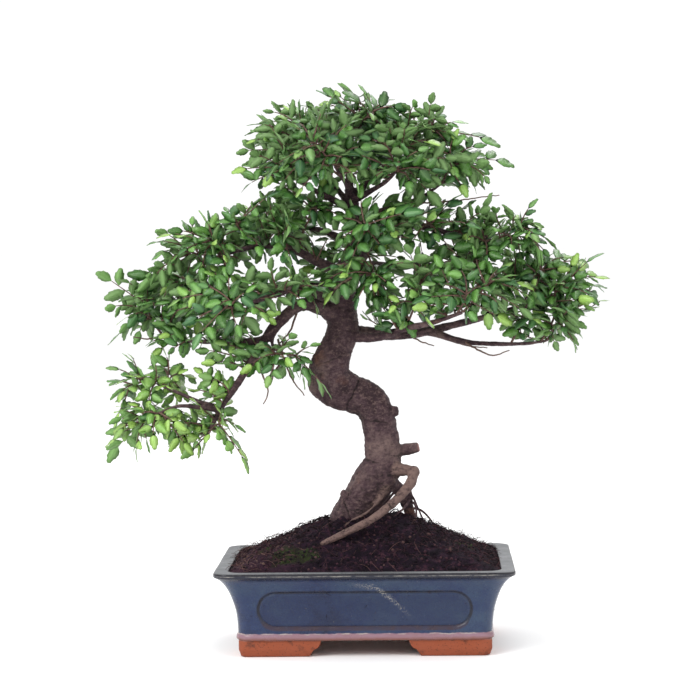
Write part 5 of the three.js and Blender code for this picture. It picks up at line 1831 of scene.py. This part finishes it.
    def _grow_shoot(self, growth: SprayGrowth, cloud: Cloud, route: Array, facing: Array, side: int,
                    shoot: tuple[float, float, float, int, int], seed: int, corners: Array) -> None:
        """Grows one of the solid spray's shoots, at the try that its corners show."""
        start, turn, roll, leaves, draw = shoot
        base, way = self._stretch(route, start)
        best = None
        for attempt in range(self.shoot_tries):
            lean = np.array([sway(attempt, seed + 20 + count) for count in (1, 2, 3)])
            face = unit(facing + lean * (roll + self.try_roll * attempt))
            forward = unit(way - face * face.dot(way))
            along = turned(forward, face, side * turn + self.turn_sway * sway(attempt, seed + 24))
            spots = self._leaf_spots(base, along, face, leaves, seed + draw)
            off = float(np.linalg.norm(corners - spots[-1][1], axis=1).min())
            if best is None or off < best[0]:
                best = (off, spots, along, face)
        _, spots, along, face = best
        rib = np.array([base + along * u - face * self.arch * (u / self._full(leaves)) ** 2
                        for u in np.linspace(0, leaves * self.node_spacing, leaves * 2 + 1)])
        growth.lines.append((rib, np.linspace(0.7, 0.35, len(rib))))
        for node, (foot, tip, normal) in enumerate(spots):
            # Tone with painted light added: leaves of the outer and low clouds are painted lighter.
            tone = self._tone((node + 1) / leaves, node, seed + draw) + self._painted_light(cloud)
            reach = (tip - foot) * self.main_size
            growth.add_leaf(foot, reach, normal, tone, self._cut(node, seed + draw))

    def _full(self, leaves: int) -> float:
        """The length of a solid shoot from its base to its last leaf's tip."""
        return leaves * self.node_spacing + self.leaf_length[1]

    def _leaf_spots(self, base: Array, along: Array, face: Array, leaves: int,
                    seed: int) -> list[tuple[Array, Array, Array]]:
        """Gives the base, tip and facing of each leaf on a solid shoot."""
        across = unit(np.cross(face, along))
        reach = self._full(leaves)
        spots = []
        for node in range(1, leaves + 1):
            rank = 0 if node == leaves else (-1 if node % 2 == 1 else 1)
            length = mix(*self.leaf_length, chance(node, seed))
            swing = sway(node, seed + 1)
            angle = self.tip_sway * swing if rank == 0 else self.leaf_angle + self.side_sway * swing
            u = node * self.node_spacing
            tip_u = u + math.cos(angle) * length
            tip_v = (rank or 1) * math.sin(angle) * length
            sink = self.droop * chance(node, seed + 2) + self.arch * (tip_u / reach) ** 2
            foot = base + along * u - face * self.arch * (u / reach) ** 2
            tip = base + along * tip_u + across * tip_v - face * sink
            roll = self.leaf_roll * sway(node, seed + 3)
            spots.append((foot, tip, turned(face, unit(tip - foot), roll)))
        return spots

    def _tone(self, along: float, node: int, seed: int) -> float:
        """How light a leaf is: most are deep green, the youngest are yellow green."""
        young = chance(seed, 77) > self.young_from
        base = self.tone_base + self.tone_spread * chance(node, seed + 11)
        return base + self.tone_rise[young] * along ** 2

    @staticmethod
    def _painted_light(cloud: Cloud) -> float:
        """How much lighter a cloud's leaves are painted, as painted light where more light reaches them:
        most in the low mass at the left, a little in the outer clouds.
        """
        low = min(max((275 - cloud.at[2]) / 60, 0.0), 1.0) * min(max((-cloud.at[0] - 60) / 60, 0.0), 1.0)
        outer = min(max((abs(cloud.at[0]) - 40) / 80, 0.0), 1.0)
        return 0.5 * low + 0.1 * outer

    def _cut(self, node: int, seed: int) -> int:
        """Which leaf shape a leaf takes."""
        return int(chance(node, seed + 17) * self.cuts) % self.cuts

    def _grow_fine(self, cloud: Cloud, place: int, grown: dict[str, tuple[SprayGrowth, Array]]) -> None:
        """Fills the cloud evenly with finer shoots, each from the nearest wood of the cloud."""
        middle, half = np.array(cloud.at, float), np.array(cloud.half, float)
        a, b, c = half
        area = 4 / 3 * math.pi * (a * b + b * c + a * c)
        count = round(area / self.fine_area)
        limb = SmoothRoute(LIMBS[cloud.limb].route)
        stems = [limb.at(t) for t in np.linspace(0.35, 1.0, 24)]
        owners = list(grown)
        for index in range(count):
            seed = place * 1000 + index * 13 + 5
            height = mix(*self.fine_tips, (index + 0.5) / count)
            turn = index * GOLDEN_ANGLE + place
            flat = math.sqrt(1 - height * height)
            out = np.array([flat * math.cos(turn), flat * math.sin(turn), height])
            depth = mix(0.72, 1.0, chance(1, seed))
            tip = middle + out * half * depth
            owner = min(owners, key=lambda name: float(np.linalg.norm(grown[name][1] - tip)))
            growth = grown[owner][0]
            wood = stems + list(growth.lines[0][0][2:])
            inner = middle + out * half * 0.25
            start = min(wood, key=lambda spot: float(np.linalg.norm(spot - mix(inner, tip, 0.4))))
            self._fine_shoot(growth, start, tip, out, self._painted_light(cloud), seed)

    def _fine_shoot(self, growth: SprayGrowth, start: Array, tip: Array, out: Array,
                    painted_light: float, seed: int) -> None:
        """Grows one fine shoot from the wood to its tip, with two ranks of leaves near its end."""
        far = float(np.linalg.norm(tip - start))
        lift = np.array([sway(2, seed), sway(3, seed), 0.9 + 0.5 * sway(4, seed)])
        control = (start + tip) / 2 + lift * far * self.fine_lift
        last = tip - UP * far * self.fine_sag
        count = max(4, int(far / 4))
        line = bent(start, control, last, count)
        growth.lines.append((line, np.linspace(*self.twig_radius, count + 1)))
        route = SmoothRoute(line)
        lean = np.array([sway(5, seed), sway(6, seed), sway(7, seed)])
        outward, upward, free = self.fine_facing
        facing = unit(out * outward + UP * upward + lean * free)
        leafy = min(route.length * self.fine_leafy, self.fine_reach)
        nodes = max(3, int(leafy / self.fine_spacing))
        for node in range(nodes + 1):
            share = 1 - leafy / route.length * (1 - node / nodes)
            foot, way = route.at(share), route.way(min(share, 0.995))
            face = unit(facing - way * facing.dot(way))
            rank = 0 if node == nodes else (1 if node % 2 else -1)
            swing = sway(node, seed + 1)
            angle = 0.15 * swing if rank == 0 else self.fine_angle + 0.2 * swing
            heading = turned(way, face, (rank or 1) * angle)
            heading = unit(heading - face * 0.16 * chance(node, seed + 2) - UP * 0.04)
            size = mix(*self.fine_length, chance(node, seed + 3))
            size *= mix(0.86, 1.0, math.sin(node / nodes * 3))
            normal = turned(face, heading, self.fine_roll * sway(node, seed + 4))
            # Tone with the cloud's painted light added.
            tone = self._tone(node / nodes, node, seed) + painted_light
            growth.add_leaf(foot, heading * size, normal, tone, self._cut(node, seed))

    def _make(self, node: str, growth: SprayGrowth, tree: NodeTree, cutter: "LeafCutter",
              leaf: Material, twig: Material) -> None:
        """Turns a spray's lines and leaves into its piece."""
        corners: list[Array] = []
        edges: list[tuple[int, int]] = []
        radii: list[float] = []
        for points, sizes in growth.lines:
            start = len(corners)
            corners.extend(points)
            radii.extend(float(size) * MM for size in sizes)
            edges.extend((start + i, start + i + 1) for i in range(len(points) - 1))
        stems = len(corners)
        corners.extend(item[0] for item in growth.leaves)
        count = len(growth.leaves)
        mesh = bpy.data.meshes.new(node)
        mesh.from_pydata(metres(corners).tolist(), edges, [])
        piece = linked(f"leaves_{node[len('spray_'):]}", mesh)
        blank = np.zeros((stems, 3))
        reach = np.array([item[1] for item in growth.leaves])
        length = np.linalg.norm(reach, axis=1)
        mark(piece, "thick", radii + [0.0] * count)
        mark(piece, "leafy", [0.0] * stems + [1.0] * count)
        mark(piece, "heading", np.concatenate([blank, reach / length[:, None]]), "FLOAT_VECTOR")
        mark(piece, "facing", np.concatenate([blank, [item[2] for item in growth.leaves]]), "FLOAT_VECTOR")
        mark(piece, "length", np.concatenate([np.zeros(stems), length * MM]))
        mark(piece, "tone", np.concatenate([np.zeros(stems), [item[3] for item in growth.leaves]]))
        mark(piece, "cut", np.concatenate([np.zeros(stems), [item[4] for item in growth.leaves]]))
        modifier = piece.modifiers.new("grow", "NODES")
        modifier.node_group = tree
        fill(modifier, {"Leaves": cutter.collection, "Sides": 5, "Leaf Finish": leaf, "Twig Finish": twig})
        settled(piece)
        hand_over(piece, "leaf", node)

    @staticmethod
    def _tree() -> NodeTree:
        """Builds the tree that gives twigs their thickness and puts a leaf at each point."""
        sheet = NodeSheet(bpy.data.node_groups.new("grow_spray", "GeometryNodeTree"))
        sheet.set_outputs([("Geometry", "Geometry")])
        sheet.set_inputs([
            ("Geometry", "Geometry", None), ("Leaves", "Collection", None),
            ("Sides", "Int", 5), ("Leaf Finish", "Material", None),
            ("Twig Finish", "Material", None),
        ])
        start, end = sheet.add("NodeGroupInput"), sheet.add("NodeGroupOutput")

        def stored(name: str, kind: str = "FLOAT") -> Socket:
            """Reads what mark stored under a name."""
            return sheet.add("GeometryNodeInputNamedAttribute", {"Name": name}, data_type=kind).outputs[0]

        lines = sheet.add("GeometryNodeMeshToCurve", {0: start.outputs["Geometry"]})
        sized = sheet.add("GeometryNodeSetCurveRadius", {
            "Curve": lines.outputs[0], "Radius": stored("thick")})
        ring = sheet.add("GeometryNodeCurvePrimitiveCircle", {
            "Resolution": start.outputs["Sides"], "Radius": 1.0})
        tube = sheet.add("GeometryNodeCurveToMesh", {
            "Curve": sized.outputs[0], "Profile Curve": ring.outputs[0], "Fill Caps": True})
        if "Scale" in tube.inputs:
            sheet.tree.links.new(stored("thick"), tube.inputs["Scale"])
        is_leaf = sheet.math("GREATER_THAN", stored("leafy"), 0.5)
        along = sheet.add("FunctionNodeAlignRotationToVector", {
            "Vector": stored("heading", "FLOAT_VECTOR")}, axis="X")
        faced = sheet.add("FunctionNodeAlignRotationToVector", {
            "Rotation": along.outputs[0], "Vector": stored("facing", "FLOAT_VECTOR")},
            axis="Z", pivot_axis="X")
        cuts = sheet.add("GeometryNodeCollectionInfo", {
            "Collection": start.outputs["Leaves"], "Separate Children": True, "Reset Children": True})
        placed = sheet.add("GeometryNodeInstanceOnPoints", {
            "Points": start.outputs["Geometry"], "Selection": is_leaf, "Instance": cuts.outputs[0],
            "Pick Instance": True, "Instance Index": stored("cut"), "Rotation": faced.outputs[0],
            "Scale": stored("length")})
        both = sheet.add("GeometryNodeJoinGeometry")
        sheet.tree.links.new(tube.outputs[0], both.inputs[0])
        sheet.tree.links.new(placed.outputs[0], both.inputs[0])
        real = sheet.add("GeometryNodeRealizeInstances", {0: both.outputs[0]})
        woody = sheet.add("GeometryNodeSetMaterial", {
            "Geometry": real.outputs[0], "Material": start.outputs["Twig Finish"]})
        green = sheet.add("GeometryNodeSetMaterial", {
            "Geometry": woody.outputs[0], "Selection": is_leaf, "Material": start.outputs["Leaf Finish"]})
        sheet.tree.links.new(green.outputs[0], end.inputs[0])
        return sheet.tree


class LeafCutter:
    """Cuts the leaf shapes that the sprays repeat: closed thin blades with toothed edges."""

    TEETH = 4
    WIDTH = 0.51
    THICKNESS = 0.022

    def __init__(self, count: int) -> None:
        """Cuts this many shapes of unit length along X, facing up Z."""
        self.collection = bpy.data.collections.new("leaf_cuts")
        bpy.context.scene.collection.children.link(self.collection)
        for index in range(count):
            self.collection.objects.link(self._cut(index))

    def clear(self) -> None:
        """Removes the shapes once all sprays are made."""
        for made in list(self.collection.objects):
            bpy.data.objects.remove(made)
        bpy.data.collections.remove(self.collection)

    def _half_width(self, t: float) -> float:
        """Half the blade's width at a share of its length."""
        return self.WIDTH / 2 * math.sin(math.pi * t ** 0.86) ** 0.82

    def _cut(self, index: int) -> Object:
        """Makes one leaf shape."""
        fold = 0.11 + 0.12 * sway(index, 1)
        curl = 0.07 + 0.12 * sway(index, 2)
        twist = 0.14 * sway(index, 3)
        bow = 0.05 * sway(index, 4)

        def place(t: float, across: float, lift: float = 0.0) -> Spot:
            """Gives a place on the folded, curled blade."""
            height = fold * abs(across) - curl * t * t + twist * t * across + lift
            wave = 0.02 * math.sin(t * 11 + index) * (1 if across > 0 else -1) if across else 0.0
            return (t, across + bow * math.sin(math.pi * t), height + wave)

        corners: list[Spot] = []
        flat: list[tuple[float, float]] = []

        def put(t: float, across: float, lift: float = 0.0) -> int:
            """Adds a corner and gives its number."""
            corners.append(place(t, across, lift))
            flat.append((0.5 + across / self.WIDTH, t))
            return len(corners) - 1

        last = self.TEETH
        base, tip = put(0.0, 0.0), put(1.0, 0.0)
        top = [base, *[put(k / last, 0.0, self.THICKNESS / 2) for k in range(1, last)], tip]
        low = [base, *[put(k / last, 0.0, -self.THICKNESS / 2) for k in range(1, last)], tip]
        faces: list[tuple[int, ...]] = []
        under: list[bool] = []
        for side in (1, -1):
            teeth = [put((k + 0.78) / last, side * self._half_width((k + 0.5) / last) * 1.06)
                     for k in range(last)]
            notches = [put((k + 1.0) / last, side * self._half_width((k + 1.0) / last) * 0.96)
                       for k in range(last - 1)]
            for rib, below in ((top, False), (low, True)):
                for k in range(last):
                    before = notches[k - 1] if k > 0 else base
                    after = notches[k] if k < last - 1 else tip
                    loop = [rib[k], before, teeth[k], after, rib[k + 1]]
                    loop = [spot for i, spot in enumerate(loop) if spot not in loop[:i]]
                    for i in range(1, len(loop) - 1):
                        face = (loop[0], loop[i], loop[i + 1])
                        faces.append(face if (side < 0) != below else face[::-1])
                        under.append(below)
        mesh = bpy.data.meshes.new(f"leaf_cut_{index}")
        mesh.from_pydata(corners, [], faces)
        mesh.shade_smooth()
        layer = mesh.uv_layers.new(name="blade")
        for face, below in zip(mesh.polygons, under):
            for loop in face.loop_indices:
                u, v = flat[mesh.loops[loop].vertex_index]
                layer.data[loop].uv = (u + (2.0 if below else 0.0), v)
        return bpy.data.objects.new(f"leaf_cut_{index}", mesh)


@dataclass
class Studio:
    """The camera as the photograph was taken, a pale floor and soft light."""

    eye: Spot = (0.0632, -2.1191, 0.3596)
    target: Spot = (0.0002, 0.0, 0.2508)
    roll: float = -0.703
    lens: float = 127.8
    sensor: float = 36.0
    floor_half: float = 30.0
    world_strength: float = 1.05

    def build(self, floor: Material) -> None:
        """Builds the camera, the floor and the lights."""
        self._camera()
        self._floor(floor)
        self._world()
        self._lamp("key", (-1.3, -1.4, 1.7), 1.4, 40.0)
        self._lamp("fill", (1.6, -1.3, 1.1), 1.6, 7.0)
        self._lamp("rim", (0.4, 1.3, 1.7), 1.2, 14.0)
        bpy.context.scene.view_settings.view_transform = "Standard"

    def _camera(self) -> None:
        """Places the camera."""
        data = bpy.data.cameras.new("camera")
        data.lens, data.sensor_width = self.lens, self.sensor
        data.clip_end = 50.0
        made = linked("camera", data)
        back = unit(np.array(self.eye) - np.array(self.target))
        right = unit(np.cross(UP, back))
        up = np.cross(back, right)
        angle = math.radians(self.roll)
        right, up = (math.cos(angle) * right + math.sin(angle) * up,
                     math.cos(angle) * up - math.sin(angle) * right)
        columns = np.stack([right, up, back], axis=1)
        made.matrix_world = Matrix.Translation(self.eye) @ Matrix(columns.tolist()).to_4x4()
        bpy.context.scene.camera = made

    def _floor(self, finish: Material) -> None:
        """Lays the floor just under the feet."""
        half = self.floor_half
        mesh = bpy.data.meshes.new("floor")
        mesh.from_pydata([(-half, -half, -0.0002), (half, -half, -0.0002), (half, half, -0.0002),
                          (-half, half, -0.0002)], [], [(0, 1, 2, 3)])
        mesh.materials.append(finish)
        floor = linked("floor", mesh)

    def _world(self) -> None:
        """Surrounds everything with even white light."""
        world = bpy.data.worlds.new("studio")
        world.use_nodes = True
        background = world.node_tree.nodes["Background"]
        background.inputs["Color"].default_value = (1.0, 1.0, 1.0, 1.0)
        background.inputs["Strength"].default_value = self.world_strength
        bpy.context.scene.world = world

    @staticmethod
    def _lamp(name: str, place: Spot, size: float, power: float) -> None:
        """Hangs a soft square lamp that points at the tree."""
        data = bpy.data.lights.new(name, "AREA")
        data.size, data.energy = size, power
        made = linked(name, data)
        made.location = place
        way = Vector((0.0, 0.0, 0.22)) - Vector(place)
        made.rotation_mode = "QUATERNION"
        made.rotation_quaternion = way.to_track_quat("-Z", "Y")


def main() -> None:
    """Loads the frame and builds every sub-assembly in order."""
    logging.basicConfig(level=logging.INFO, format="%(message)s")
    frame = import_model()
    effects = Effects()
    Studio().build(FloorFinish().build(effects))
    Pot().build(GlazeFinish().build(effects))
    plastic = PlasticFinish().build(effects)
    for name in ("drain_mesh_left", "drain_mesh_right"):
        mesh = frame["nodes"][name].data
        mesh.materials.clear()
        mesh.materials.append(plastic)
    mound = Soil().build(SoilFinish().build(effects))
    litter = Litter(mound)
    crumbs = CrumbFinish().build(effects)
    litter.build(Ground.CRUMB, crumbs, 3)
    fibres = CrumbFinish("peat_fibres", (0.01, 0.0045, 0.007), (0.07, 0.027, 0.035), (0.16, 0.09, 0.075))
    peaty = fibres.build(effects)
    litter.build(Ground.FIBRE, peaty, 5)
    litter.build(Ground.TUFT, MossFinish().build(effects), 8)
    twig = TwigFinish().build(effects)
    bark = BarkFinish().build(effects)
    Wood().build(bark, CutFinish().build(effects), twig)
    FineRoots().build(mound, bark, peaty)
    Foliage().build(frame["nodes"], LeafFinish().build(effects), twig)


if __name__ == "__main__":
    main()
